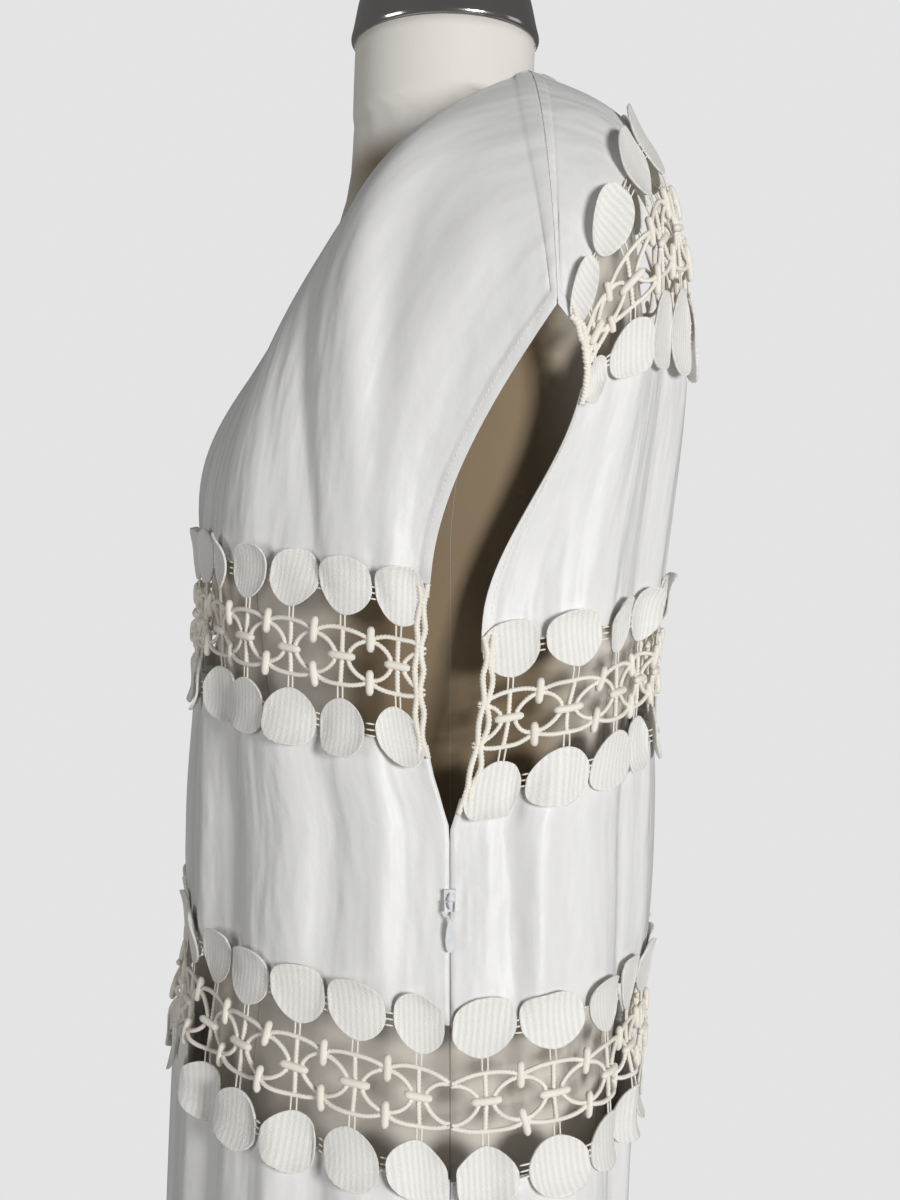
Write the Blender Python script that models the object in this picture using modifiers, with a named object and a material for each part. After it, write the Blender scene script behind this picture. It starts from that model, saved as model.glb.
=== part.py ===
# A sundress with openwork bands, standing on a limbless dress form.
#
# Frame: metres, +Z up, the front towards -Y and the wearer's left towards +X. The origin is on
# the floor under the middle of the stand.
#
# The cloth is one rest surface for the front and one for the back. A place on it has two
# numbers: across, from -1 at the right edge through 0 at the middle to +1 at the left edge, and
# down, from 0 at the neckline and shoulder seam to 5 at the hem. The whole numbers 1 to 4 of
# down are the edges of the bust band and of the hip band.
import math

import bmesh
import bpy
import numpy as np
from mathutils import Vector
from mathutils.bvhtree import BVHTree

MM = 0.001

# Driving sizes
CLOTH = 1.2 * MM
LACE = 1.4 * MM
SEAM_GAP = 0.3 * MM
LACE_GAP = 0.7 * MM
BAND_HALF = 50 * MM
BAND_LAP = 0.13  # the share of a band's height that lies on the cloth, at each edge
SQUARENESS = 2.5  # of the dress's level sections; 2 would be an ellipse

NECK_X = 71 * MM
NECK_Y = 40 * MM
NECK_Z = 1.396
V_DEPTH = 158 * MM
V_Y = -118 * MM
V_BOW = 22 * MM
NAPE_Y = 62 * MM
NAPE_Z = 1.412
CAP_X = 202 * MM
CAP_Y = 52 * MM
CAP_Z = 1.243
HEM_Z = 0.45

# Columns: repeats of the openwork across, and the columns that the neckline takes on one half
PANELS = {
    "front": {"facing": -1, "repeats": 18, "neck_columns": 8},
    "back": {"facing": 1, "repeats": 15, "neck_columns": 4},
}

# Level sections of the dress under the arms: height, half width, front and back depth from the
# middle, and how far behind the middle the side seam lies
LEVELS = (
    # z, half_width, front, back, side_y
    (1.160, 0.177, 0.1510, 0.1240, 0.014),
    (1.130, 0.176, 0.1489, 0.1250, 0.006),
    (1.090, 0.175, 0.1472, 0.1209, 0.002),
    (1.050, 0.175, 0.1465, 0.1167, 0.001),
    (0.990, 0.176, 0.1508, 0.1180, 0.000),
    (0.930, 0.179, 0.1517, 0.1152, 0.000),
    (0.870, 0.184, 0.1512, 0.1075, 0.000),
    (0.800, 0.190, 0.1539, 0.0990, 0.000),
    (0.720, 0.197, 0.1567, 0.0955, 0.000),
    (0.600, 0.209, 0.1626, 0.1000, 0.000),
    (0.440, 0.226, 0.1712, 0.1085, 0.000),
)

# How far the armhole's edges stand from the side line
ARMHOLE = (
    # z, front_gap, back_gap
    (0.985, 0.000, 0.000),
    (0.995, 0.003, 0.003),
    (1.020, 0.010, 0.009),
    (1.050, 0.013, 0.013),
    (1.090, 0.013, 0.014),
    (1.130, 0.013, 0.013),
    (1.160, 0.013, 0.014),
)

# Middle heights of the two long bands at the centre, and how much lower they are at the side
BANDS = {
    "front": {"bust": (1.096, 0.032), "hip": (0.889, 0.038)},
    "back": {"bust": (1.070, 0.033), "hip": (0.864, 0.014)},
}
SIDE_DROP_POWER = 1.5

# The way the cloth leaves the neckline and shoulder seam, at places across the half panel
LEAVING = {
    "front": (
        # across, outward, downward, strength
        (0.00, 0.56, 0.84, 1.02),
        (0.22, 0.56, 1.02, 1.50),
        (0.44, 0.585, 0.508, 1.00),
        (0.75, 1.12, 0.076, 1.30),
        (1.00, 0.54, 0.81, 0.77),
    ),
    "back": (
        (0.00, 0.93, 0.31, 1.15),
        (0.27, 0.81, 0.436, 1.40),
        (0.65, 0.79, 0.086, 1.49),
        (1.00, 0.665, 0.778, 1.09),
    ),
}

# The band over the back of the shoulders, as shares of the way down to the bust band
YOKE_BAND = (
    # across, top, bottom
    (0.00, 0.170, 0.620),
    (0.55, 0.165, 0.640),
    (0.82, 0.114, 0.500),
    (1.00, 0.035, 0.340),
)

# Large soft folds: where across, half width across, depth, where down they start and end, and
# how far across they drift for each step down
FOLDS = {
    "front": (
        # across, width, depth_mm, start, end, drift
        (0.52, 0.10, 4.0, 0.10, 1.80, 0.06),
        (0.80, 0.10, 4.5, 0.15, 1.80, 0.00),
        (-0.55, 0.10, 4.0, 0.10, 1.80, -0.06),
        (-0.80, 0.10, 4.0, 0.20, 1.80, 0.00),
        (0.36, 0.12, 4.0, 1.20, 3.80, 0.00),
        (0.62, 0.10, 4.5, 1.20, 3.80, 0.01),
        (0.84, 0.08, 3.5, 1.20, 3.80, 0.00),
        (-0.20, 0.12, 3.5, 1.20, 3.80, 0.00),
        (-0.50, 0.10, 4.5, 1.20, 3.80, -0.01),
        (-0.78, 0.10, 4.0, 1.20, 3.80, 0.00),
        (0.08, 0.12, 4.0, 1.20, 3.80, 0.00),
        (0.00, 0.16, 9.0, 3.20, 5.80, 0.00),
        (0.30, 0.14, 8.0, 3.20, 5.80, 0.01),
        (0.58, 0.14, 9.0, 3.20, 5.80, 0.01),
        (0.84, 0.10, 6.0, 3.20, 5.80, 0.00),
        (-0.30, 0.14, 8.5, 3.20, 5.80, -0.01),
        (-0.60, 0.14, 8.0, 3.20, 5.80, -0.01),
        (-0.85, 0.10, 6.0, 3.20, 5.80, 0.00),
    ),
    "back": (
        (0.48, 0.14, 4.0, -0.60, 1.80, -0.02),
        (0.76, 0.12, 3.5, -0.60, 1.80, -0.02),
        (-0.50, 0.14, 3.5, -0.60, 1.80, 0.02),
        (-0.78, 0.12, 4.0, -0.60, 1.80, 0.02),
        (0.08, 0.16, 3.0, -0.60, 1.80, 0.00),
        (0.34, 0.14, 4.5, 1.20, 3.80, 0.00),
        (0.68, 0.12, 5.0, 1.20, 3.80, 0.01),
        (-0.30, 0.14, 4.5, 1.20, 3.80, 0.00),
        (-0.66, 0.12, 4.5, 1.20, 3.80, -0.01),
        (0.00, 0.18, 9.0, 3.20, 5.80, 0.00),
        (0.36, 0.16, 8.0, 3.20, 5.80, 0.01),
        (0.70, 0.14, 8.0, 3.20, 5.80, 0.01),
        (-0.36, 0.16, 8.5, 3.20, 5.80, -0.01),
        (-0.70, 0.14, 8.0, 3.20, 5.80, -0.01),
    ),
}
FOLD_FADE = 0.60  # how far down a fold takes to reach its depth
TOP_FADE = 0.25  # how far down from the neckline and shoulder seam no fold has its full depth
EDGE_FADE = 0.15  # how far across it fades out beside a seam
ROW_STEP = 0.03  # how far down the surface is felt for its direction

# Rows of each panel's grid, down the rest surface. The rows of the two panels beside the band
# over the shoulders are shares of the way to its edges.
ROWS = {
    "front_yoke": (0.00, 0.14, 0.28, 0.42, 0.56, 0.71, 0.86, 1.00, 1.13),
    "front_waist": (1.87, 2.00, 2.33, 2.67, 3.00, 3.13),
    "front_skirt": (3.87, 4.00, 4.33, 4.67, 5.00),
    "back_waist": (1.87, 2.00, 2.33, 2.67, 3.00, 3.13),
    "back_skirt": (3.87, 4.00, 4.33, 4.67, 5.00),
}
BACK_YOKE_SHARES = (0.00, 0.34, 0.67, 1.00)
BACK_PANEL_SHARES = (0.00, 0.33, 0.67, 1.00)

# One repeat of the openwork. Across is in half repeats, up is in millimetres from the middle of
# the band. A quarter of the openwork is given, and the rest mirrors it. An oval bends at its
# middle, where the cloth under it has a column, and near the cloth's edge.
OVAL_FOOT = ((0.0, 20), (0.3, 20), (1.0, 33), (1.0, 40), (0.0, 36))
OVAL_HEAD = ((0.0, 36), (1.0, 40), (0.55, 50), (0.0, 50))
ARCS_RIGHT = ((0.28, 0), (1.0, 7), (1.0, 12), (0.3, 20))
ARCS = ((-0.28, 0), *ARCS_RIGHT, (0.0, 20), *((-u, v) for u, v in ARCS_RIGHT[:0:-1]))

# Level sections of the dress form. The shoulders are a flat oval whose middle lies at side_y, and
# the neck and chest an oval from neck_front to neck_back. A section is the outline of both.
FORM_TOP = 1.445
FORM_BOTTOM = 0.700
FORM = (
    # z, half_width, front, back, side_y, neck_half, neck_front, neck_back
    (1.445, 0.0100, 0.010, 0.010, 0.000, 0.0530, 0.0590, 0.0530),
    (1.420, 0.0100, 0.010, 0.010, 0.000, 0.0520, 0.0600, 0.0520),
    (1.402, 0.0100, 0.010, 0.010, 0.010, 0.0530, 0.0605, 0.0540),
    (1.395, 0.0560, 0.016, 0.018, 0.030, 0.0540, 0.0610, 0.0550),
    (1.390, 0.0970, 0.024, 0.026, 0.038, 0.0550, 0.0615, 0.0570),
    (1.380, 0.1250, 0.034, 0.038, 0.042, 0.0550, 0.0620, 0.0610),
    (1.366, 0.1460, 0.044, 0.050, 0.043, 0.0560, 0.0630, 0.0670),
    (1.349, 0.1620, 0.054, 0.062, 0.042, 0.0580, 0.0660, 0.0760),
    (1.328, 0.1720, 0.066, 0.074, 0.036, 0.0640, 0.0720, 0.0900),
    (1.298, 0.1760, 0.088, 0.088, 0.024, 0.0800, 0.0860, 0.1040),
    (1.260, 0.1740, 0.110, 0.100, 0.014, 0.1000, 0.1000, 0.1100),
    (1.215, 0.1700, 0.120, 0.107, 0.008, 0.1100, 0.1160, 0.1120),
    (1.170, 0.1640, 0.132, 0.111, 0.004, 0.1200, 0.1320, 0.1120),
    (1.130, 0.1580, 0.136, 0.112, 0.000, 0.1250, 0.1370, 0.1120),
    (1.080, 0.1500, 0.134, 0.109, 0.000, 0.1200, 0.1340, 0.1080),
    (1.030, 0.1400, 0.128, 0.104, 0.000, 0.1100, 0.1280, 0.1030),
    (0.980, 0.1370, 0.126, 0.101, 0.000, 0.1100, 0.1250, 0.1000),
    (0.920, 0.1450, 0.130, 0.101, 0.000, 0.1150, 0.1290, 0.1000),
    (0.860, 0.1560, 0.136, 0.096, 0.000, 0.1200, 0.1350, 0.0950),
    (0.800, 0.1640, 0.140, 0.090, 0.000, 0.1250, 0.1390, 0.0890),
    (0.740, 0.1660, 0.138, 0.087, 0.000, 0.1250, 0.1370, 0.0860),
    (0.700, 0.1620, 0.130, 0.084, 0.000, 0.1200, 0.1290, 0.0830),
)
FORM_SQUARENESS = 2.4
FORM_BLEND = 10  # how sharply the neck's and shoulders' ovals meet
FORM_SIDES = 32
NECK_RINGS = 4  # the sections above the shoulders, which no cloth touches
REST_GAP = 0.9 * MM  # between the dress form and the cloth that rests on it
REST_SHARES = 8  # how finely a face of that cloth is felt for the dress form
SETTLE_PASSES = 50
SETTLE_STEP = 1 * MM
SETTLE_REACH = 40 * MM

CAP_HEIGHT = 46 * MM
CAP_RADIUS = 59 * MM
CAP_WIDTH_SHARE = 0.92
CAP_MIDDLE_Y = -3 * MM
POLE_RADIUS = 16 * MM
BASE_RADIUS = 190 * MM
BASE_RIM = 10 * MM
BOSS_RADIUS = 32 * MM
BOSS_TOP = 34 * MM

# Side zip: the slider's middle and size, and its pull tab
ZIP_Z = 0.950
SLIDER_WIDTH = 6 * MM
SLIDER_DEPTH = 2.6 * MM
SLIDER_HEIGHT = 11 * MM
BAIL_RADIUS = 0.6 * MM
BAIL_REACH = 2.6 * MM
BAIL_STEPS = 8
WIRE_RADIUS = 0.5 * MM
LINK_WIDTH = 5.2 * MM
LINK_LENGTH = 9 * MM
TAB_LENGTH = 17 * MM
TAB_WIDTH = 6 * MM
TAB_THICK = 1.2 * MM


def smooth(table, key, column):
    """A column of a table at a key between its rows, on a smooth curve. Keys rise or fall."""
    rows = table if table[0][0] < table[-1][0] else table[::-1]
    if key <= rows[0][0]:
        return rows[0][column]
    if key >= rows[-1][0]:
        return rows[-1][column]
    i = next(n for n in range(len(rows) - 1) if key <= rows[n + 1][0])
    low, high = rows[i], rows[i + 1]
    span = high[0] - low[0]
    slopes = []
    for n in (i, i + 1):
        before = rows[max(n - 1, 0)]
        after = rows[min(n + 1, len(rows) - 1)]
        slopes.append((after[column] - before[column]) / (after[0] - before[0]))
    t = (key - low[0]) / span
    rise = 3 * t * t - 2 * t**3
    return (
        low[column] * (1 - rise)
        + high[column] * rise
        + span * (slopes[0] * t * (1 - t) ** 2 - slopes[1] * t * t * (1 - t))
    )


def fade(x):
    """0 below 0, 1 above 1, and smooth between."""
    x = min(1.0, max(0.0, x))
    return x * x * (3 - 2 * x)


def superellipse(angle, half_width, depth, power):
    """How far a section reaches at an angle from its front or back middle."""
    across = (abs(math.sin(angle)) / half_width) ** power
    along = (abs(math.cos(angle)) / depth) ** power
    return (across + along) ** (-1 / power)


def even_angles(panel):
    """Angles that lie evenly along half of a panel's section at the bust."""
    _, half_width, front, back, _ = LEVELS[2]
    depth = front if panel == "front" else back
    angles = np.linspace(0, math.pi / 2, 61)
    reach = [superellipse(a, half_width, depth, SQUARENESS) for a in angles]
    x, y = reach * np.sin(angles), reach * np.cos(angles)
    along = np.concatenate([[0], np.cumsum(np.hypot(np.diff(x), np.diff(y)))])
    return along / along[-1], angles


EVEN = {panel: even_angles(panel) for panel in PANELS}


def tube_point(panel, across, z):
    """A point of the dress's level section at a height."""
    facing = PANELS[panel]["facing"]
    half_width, front, back, side_y = (smooth(LEVELS, z, c) for c in (1, 2, 3, 4))
    gap = max(0.0, smooth(ARMHOLE, z, 1 if facing < 0 else 2))
    depth = front + side_y if facing < 0 else back - side_y
    limit = math.pi / 2 - math.asin(gap / half_width)
    share, angles = EVEN[panel]
    angle = float(np.interp(abs(across), share, angles)) * limit / (math.pi / 2)
    reach = superellipse(angle, half_width, depth, SQUARENESS)
    x = math.copysign(reach * math.sin(angle), across)
    return Vector((x, side_y + facing * reach * math.cos(angle), z))


def level_of(panel, across, down):
    """The height of a place on the dress below the bust band's top edge."""
    heights = []
    for middle, drop in BANDS[panel].values():
        here = middle - drop * abs(across) ** SIDE_DROP_POWER
        heights += [here + BAND_HALF, here - BAND_HALF]
    heights.append(HEM_Z)
    step = min(int(down), 4) if down < 5 else 4
    step = max(step, 1)
    return heights[step - 1] + (heights[step] - heights[step - 1]) * (down - step)


def top_point(panel, across):
    """A point of the neckline, or of the shoulder seam past it."""
    half_columns = PANELS[panel]["repeats"]
    neck_share = PANELS[panel]["neck_columns"] / half_columns
    place = abs(across)
    facing = PANELS[panel]["facing"]
    seam_shift = facing * SEAM_GAP
    if place < neck_share:
        q = place / neck_share
        x = NECK_X * math.sin(q * math.pi / 2)
        if panel == "front":
            y = V_Y + (NECK_Y + seam_shift - V_Y) * q - V_BOW * math.sin(q * math.pi)
            z = NECK_Z - V_DEPTH * (1 - q)
        else:
            y = NAPE_Y + (NECK_Y + seam_shift - NAPE_Y) * q * q
            z = NAPE_Z + (NECK_Z - NAPE_Z) * q * q
    else:
        r = (place - neck_share) / (1 - neck_share)
        x = NECK_X + (CAP_X - NECK_X) * math.sin(r * math.pi / 2)
        y = NECK_Y + (CAP_Y - NECK_Y) * r + seam_shift
        z = CAP_Z + (NECK_Z - CAP_Z) * math.cos(r * math.pi / 2)
    return Vector((math.copysign(x, across), y, z))


def upper_point(panel, across, down):
    """A point between the neckline or shoulder seam and the bust band's top edge."""
    facing = PANELS[panel]["facing"]
    start = top_point(panel, across)
    end = tube_point(panel, across, level_of(panel, across, 1))
    long = (end - start).length
    place = abs(across)
    outward, downward, strength = (smooth(LEAVING[panel], place, c) for c in (1, 2, 3))
    leave = Vector((0, facing * outward, -downward)) * long * strength
    below = tube_point(panel, across, level_of(panel, across, 1) - 10 * MM)
    arrive = (below - end).normalized() * long
    t = down
    return (
        start * (2 * t**3 - 3 * t * t + 1)
        + leave * (t**3 - 2 * t * t + t)
        + end * (3 * t * t - 2 * t**3)
        + arrive * (t**3 - t * t)
    )


def rest_point(panel, across, down):
    """A point of the rest surface before its folds."""
    if down < 1:
        return upper_point(panel, across, down)
    return tube_point(panel, across, level_of(panel, across, down))


def outward_at(surface, panel, across, down):
    """The direction away from the body at a place on a surface."""
    column = 1 / PANELS[panel]["repeats"]
    low = max(-1.0, across - column)
    high = min(1.0, across + column)
    above = max(0.0, down - ROW_STEP)
    side = surface(panel, high, down) - surface(panel, low, down)
    along = surface(panel, across, down + ROW_STEP) - surface(panel, across, above)
    normal = side.cross(along).normalized()
    return normal * PANELS[panel]["facing"]


def fold_depth(panel, across, down):
    """How far the folds push the cloth out at a place."""
    total = 0.0
    for middle, width, depth, start, end, drift in FOLDS[panel]:
        here = middle + drift * (down - start)
        ends = fade((down - start) / FOLD_FADE) * fade((end - down) / FOLD_FADE)
        total += depth * MM * math.exp(-(((across - here) / width) ** 2)) * ends
    return total * fade((1 - abs(across)) / EDGE_FADE) * fade(down / TOP_FADE)


def cloth_point(panel, across, down):
    """A point of the cloth's inner face."""
    point = rest_point(panel, across, down)
    depth = fold_depth(panel, across, down)
    if depth > 0:
        point = point + outward_at(rest_point, panel, across, down) * depth
    return point


def column_place(panel, column):
    """The place across of a column, two to a repeat, kept off the side seam by the seam gap."""
    columns = 2 * PANELS[panel]["repeats"]
    half_seam = 0.5 * SEAM_GAP / (0.25 * math.pi * LEVELS[0][1] * 2)
    return max(-1 + half_seam, min(1 - half_seam, 2 * column / columns - 1))


def on_columns(panel, across, down, lift):
    """A point lifted off the cloth, on the straight line between two of its columns."""
    columns = 2 * PANELS[panel]["repeats"]
    place = (across + 1) / 2 * columns
    first = min(columns - 1, int(place + 1e-6))
    share = place - first
    ends = []
    for column in (first, first + 1):
        here = column_place(panel, column)
        out = outward_at(cloth_point, panel, here, down)
        ends.append(cloth_point(panel, here, down) + out * lift)
    return ends[0].lerp(ends[1], share)


def yoke_band_edges(across):
    """Where down the band over the shoulders starts and ends."""
    place = abs(across)
    return smooth(YOKE_BAND, place, 1), smooth(YOKE_BAND, place, 2)


def band_down(panel, band, across, up_mm):
    """The place down of a height in a band, measured from the band's middle."""
    share = 0.5 - up_mm * MM / (2 * BAND_HALF)
    if band == "yoke":
        top, bottom = yoke_band_edges(across)
        return top + (bottom - top) * share
    return (1 if band == "bust" else 3) + share


def rows_of(name, across):
    """The places down of a panel's rows at a place across."""
    if name == "back_yoke":
        top, bottom = yoke_band_edges(across)
        rows = [top * share for share in BACK_YOKE_SHARES]
        return rows + [top + (bottom - top) * BAND_LAP]
    if name == "back_panel":
        top, bottom = yoke_band_edges(across)
        rows = [bottom - (bottom - top) * BAND_LAP]
        rows += [bottom + (1 - bottom) * share for share in BACK_PANEL_SHARES]
        return rows + [1 + BAND_LAP]
    return list(ROWS[name])


def material(name, colour, roughness, metallic):
    made = bpy.data.materials.new(name)
    made.use_nodes = True
    shader = made.node_tree.nodes["Principled BSDF"]
    shader.inputs["Base Color"].default_value = (*colour, 1)
    shader.inputs["Roughness"].default_value = roughness
    shader.inputs["Metallic"].default_value = metallic
    return made


def new_object(name, mesh, collection, finish):
    made = bpy.data.objects.new(name, mesh)
    collection.objects.link(made)
    if hasattr(mesh, "materials"):
        mesh.materials.append(finish)
    return made


def surface_mesh(name, points, faces):
    mesh = bpy.data.meshes.new(name)
    mesh.from_pydata([tuple(p) for p in points], [], faces)
    mesh.update()
    mesh.shade_smooth()
    return mesh


def thicken(made, thickness):
    """Gives an open surface its wall, outwards from the face it was made on."""
    wall = made.modifiers.new("Wall", "SOLIDIFY")
    wall.thickness = thickness
    wall.offset = 1
    wall.use_rim = True


def panel_piece(name, panel, collection, finish):
    """A cut panel of cloth: a grid of the rest surface with a wall."""
    columns = 2 * PANELS[panel]["repeats"] + 1
    points = []
    for column in range(columns):
        across = column_place(panel, column)
        points += [cloth_point(panel, across, down) for down in rows_of(name, across)]
    rows = len(points) // columns
    faces = []
    for column in range(columns - 1):
        for row in range(rows - 1):
            corner = column * rows + row
            face = (corner, corner + rows, corner + rows + 1, corner + 1)
            faces.append(face if panel == "back" else face[::-1])
    made = new_object(name, surface_mesh(name, points, faces), collection, finish)
    thicken(made, CLOTH)
    return made


def band_piece(name, panel, band, collection, finish):
    """An openwork band: repeats of ovals and tied arcs that share their side points."""
    repeats = PANELS[panel]["repeats"]
    shapes = [OVAL_FOOT, OVAL_HEAD]
    shapes += [[(-u, v) for u, v in outline[::-1]] for outline in shapes]
    shapes.append(ARCS)
    shapes += [[(u, -v) for u, v in outline[::-1]] for outline in shapes]
    numbers = {}
    points = []
    faces = []
    for repeat in range(repeats):
        for outline in shapes:
            face = []
            for u, v in outline:
                key = (round(100 * (2 * repeat + 1 + u)), v)
                if key not in numbers:
                    numbers[key] = len(points)
                    across = (2 * repeat + 1 + u) / repeats - 1
                    down = band_down(panel, band, across, v)
                    points.append(on_columns(panel, across, down, CLOTH + LACE_GAP))
                face.append(numbers[key])
            faces.append(face if panel == "front" else face[::-1])
    made = new_object(name, surface_mesh(name, points, faces), collection, finish)
    thicken(made, LACE)
    return made


def places_on(pieces):
    """Places all over the surfaces that some pieces were made on."""
    shares = [n / REST_SHARES for n in range(REST_SHARES + 1)]
    places = []
    for piece in pieces:
        for face in piece.data.polygons:
            first, second, third, fourth = (piece.data.vertices[n].co for n in face.vertices)
            for along in shares:
                one, other = first.lerp(second, along), fourth.lerp(third, along)
                places += [one.lerp(other, across) for across in shares]
    return places


def oval_reach(way, start_y, half, front, back):
    """How far a ray from the middle line goes to leave an oval, in a level plane."""
    middle = (back - front) / 2
    depth = (front + back) / 2
    a = (way.x / half) ** 2 + (way.y / depth) ** 2
    b = way.y * (start_y - middle) / depth**2
    c = ((start_y - middle) / depth) ** 2 - 1
    return (-b + math.sqrt(max(0.0, b * b - a * c))) / a


def form_section(row):
    """A level section of the dress form."""
    z, half_width, front, back, side_y, neck_half, neck_front, neck_back = row
    middle = Vector((0, side_y, z))
    points = []
    for i in range(FORM_SIDES):
        angle = 2 * math.pi * i / FORM_SIDES
        way = Vector((math.sin(angle), -math.cos(angle), 0))
        shoulder = superellipse(angle, half_width, front if way.y < 0 else back, FORM_SQUARENESS)
        neck = oval_reach(way, side_y, neck_half, neck_front, neck_back)
        reach = (shoulder**FORM_BLEND + neck**FORM_BLEND) ** (1 / FORM_BLEND)
        points.append(middle + way * reach)
    return points


def draw_in(points, faces, places):
    """Draws the dress form in wherever the cloth that rests on it would pass through it."""
    for _ in range(SETTLE_PASSES):
        tree = BVHTree.FromPolygons(points, faces)
        moves = {}
        for place in places:
            near, normal, face, _ = tree.find_nearest(place, SETTLE_REACH)
            if near is None:
                continue
            need = min(SETTLE_STEP, REST_GAP - (place - near).dot(normal))
            for n in faces[face]:
                moves[n] = max(moves.get(n, 0), need)
        for n, move in moves.items():
            if n < NECK_RINGS * FORM_SIDES:
                continue
            middle = Vector((0, FORM[n // FORM_SIDES][4], points[n].z))
            points[n] += (middle - points[n]).normalized() * move


def form_body(yokes, collection, finish):
    """The dress form's body and neck: level sections closed at the top and underneath."""
    points = []
    for row in FORM:
        points += form_section(row)
    faces = []
    for ring in range(len(FORM) - 1):
        for i in range(FORM_SIDES):
            j = (i + 1) % FORM_SIDES
            upper, lower = ring * FORM_SIDES, (ring + 1) * FORM_SIDES
            faces.append((upper + i, lower + i, lower + j))
            faces.append((upper + i, lower + j, upper + j))
    draw_in(points, faces, places_on(yokes))
    last = (len(FORM) - 1) * FORM_SIDES
    faces.append(tuple(range(FORM_SIDES)))
    faces.append(tuple(range(last, last + FORM_SIDES))[::-1])
    return new_object("form_body", surface_mesh("form_body", points, faces), collection, finish)


def turned_piece(name, profile, steps, collection, finish):
    """A turned solid: a profile at +X that runs down its outer side, with both ends on the axis."""
    mesh = bpy.data.meshes.new(name)
    points = [(x, 0, z) for x, z in profile]
    mesh.from_pydata(points, [(i, i + 1) for i in range(len(points) - 1)], [])
    made = new_object(name, mesh, collection, finish)
    turn = made.modifiers.new("Turn", "SCREW")
    turn.steps = steps
    turn.render_steps = steps
    turn.use_merge_vertices = True
    turn.merge_threshold = 0.00005
    turn.use_smooth_shade = True
    return made


def neck_cap(collection, finish):
    low = FORM_TOP + SEAM_GAP
    profile = (
        (0, low + CAP_HEIGHT),
        (0.45 * CAP_RADIUS, low + 0.96 * CAP_HEIGHT),
        (0.78 * CAP_RADIUS, low + 0.84 * CAP_HEIGHT),
        (0.90 * CAP_RADIUS, low + 0.66 * CAP_HEIGHT),
        (0.97 * CAP_RADIUS, low + 0.20 * CAP_HEIGHT),
        (CAP_RADIUS, low + 0.06 * CAP_HEIGHT),
        (0.97 * CAP_RADIUS, low),
        (0, low),
    )
    made = turned_piece("neck_cap", profile, 28, collection, finish)
    made.location = (0, CAP_MIDDLE_Y, 0)
    made.scale = (CAP_WIDTH_SHARE, 1, 1)
    return made


def stand(collection, finish):
    base_profile = (
        (0, BOSS_TOP),
        (BOSS_RADIUS - 3 * MM, BOSS_TOP),
        (BOSS_RADIUS, BOSS_TOP - 3 * MM),
        (BOSS_RADIUS + 4 * MM, BASE_RIM + 8 * MM),
        (BASE_RADIUS - 10 * MM, BASE_RIM + 1 * MM),
        (BASE_RADIUS, BASE_RIM - 4 * MM),
        (BASE_RADIUS, 0),
        (0, 0),
    )
    turned_piece("stand_base", base_profile, 32, collection, finish)
    bottom = BOSS_TOP + SEAM_GAP
    top = FORM_BOTTOM - SEAM_GAP
    mesh = bmesh.new()
    sizes = {"radius1": POLE_RADIUS, "radius2": POLE_RADIUS, "depth": top - bottom}
    bmesh.ops.create_cone(mesh, cap_ends=True, segments=20, **sizes)
    data = bpy.data.meshes.new("stand_pole")
    mesh.to_mesh(data)
    mesh.free()
    pole = new_object("stand_pole", data, collection, finish)
    pole.location = (0, 0, (top + bottom) / 2)


def tube_mesh(points, radius, closed):
    """A wire along a list of points, as a mesh with welded caps."""
    curve = bpy.data.curves.new("wire", "CURVE")
    curve.dimensions = "3D"
    curve.bevel_depth = radius
    curve.bevel_resolution = 1
    curve.use_fill_caps = not closed
    spline = curve.splines.new("POLY")
    spline.points.add(len(points) - 1)
    for place, point in zip(spline.points, points):
        place.co = (*point, 1)
    spline.use_cyclic_u = closed
    made = bpy.data.objects.new("wire", curve)
    bpy.context.scene.collection.objects.link(made)
    bpy.context.view_layer.update()
    seen = made.evaluated_get(bpy.context.evaluated_depsgraph_get())
    mesh = bpy.data.meshes.new_from_object(seen)
    bpy.data.objects.remove(made)
    bpy.data.curves.remove(curve)
    work = bmesh.new()
    work.from_mesh(mesh)
    bmesh.ops.remove_doubles(work, verts=work.verts, dist=0.00001)
    work.to_mesh(mesh)
    work.free()
    return mesh


def joined(made, others, cutters):
    """Adds meshes to an object with unions, so that they are one body."""
    for i, mesh in enumerate(others):
        tool = bpy.data.objects.new(f"{made.name}_part_{i}", mesh)
        cutters.objects.link(tool)
        tool.hide_render = True
        tool.display_type = "WIRE"
        union = made.modifiers.new("Join", "BOOLEAN")
        union.operation = "UNION"
        union.object = tool


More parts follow.
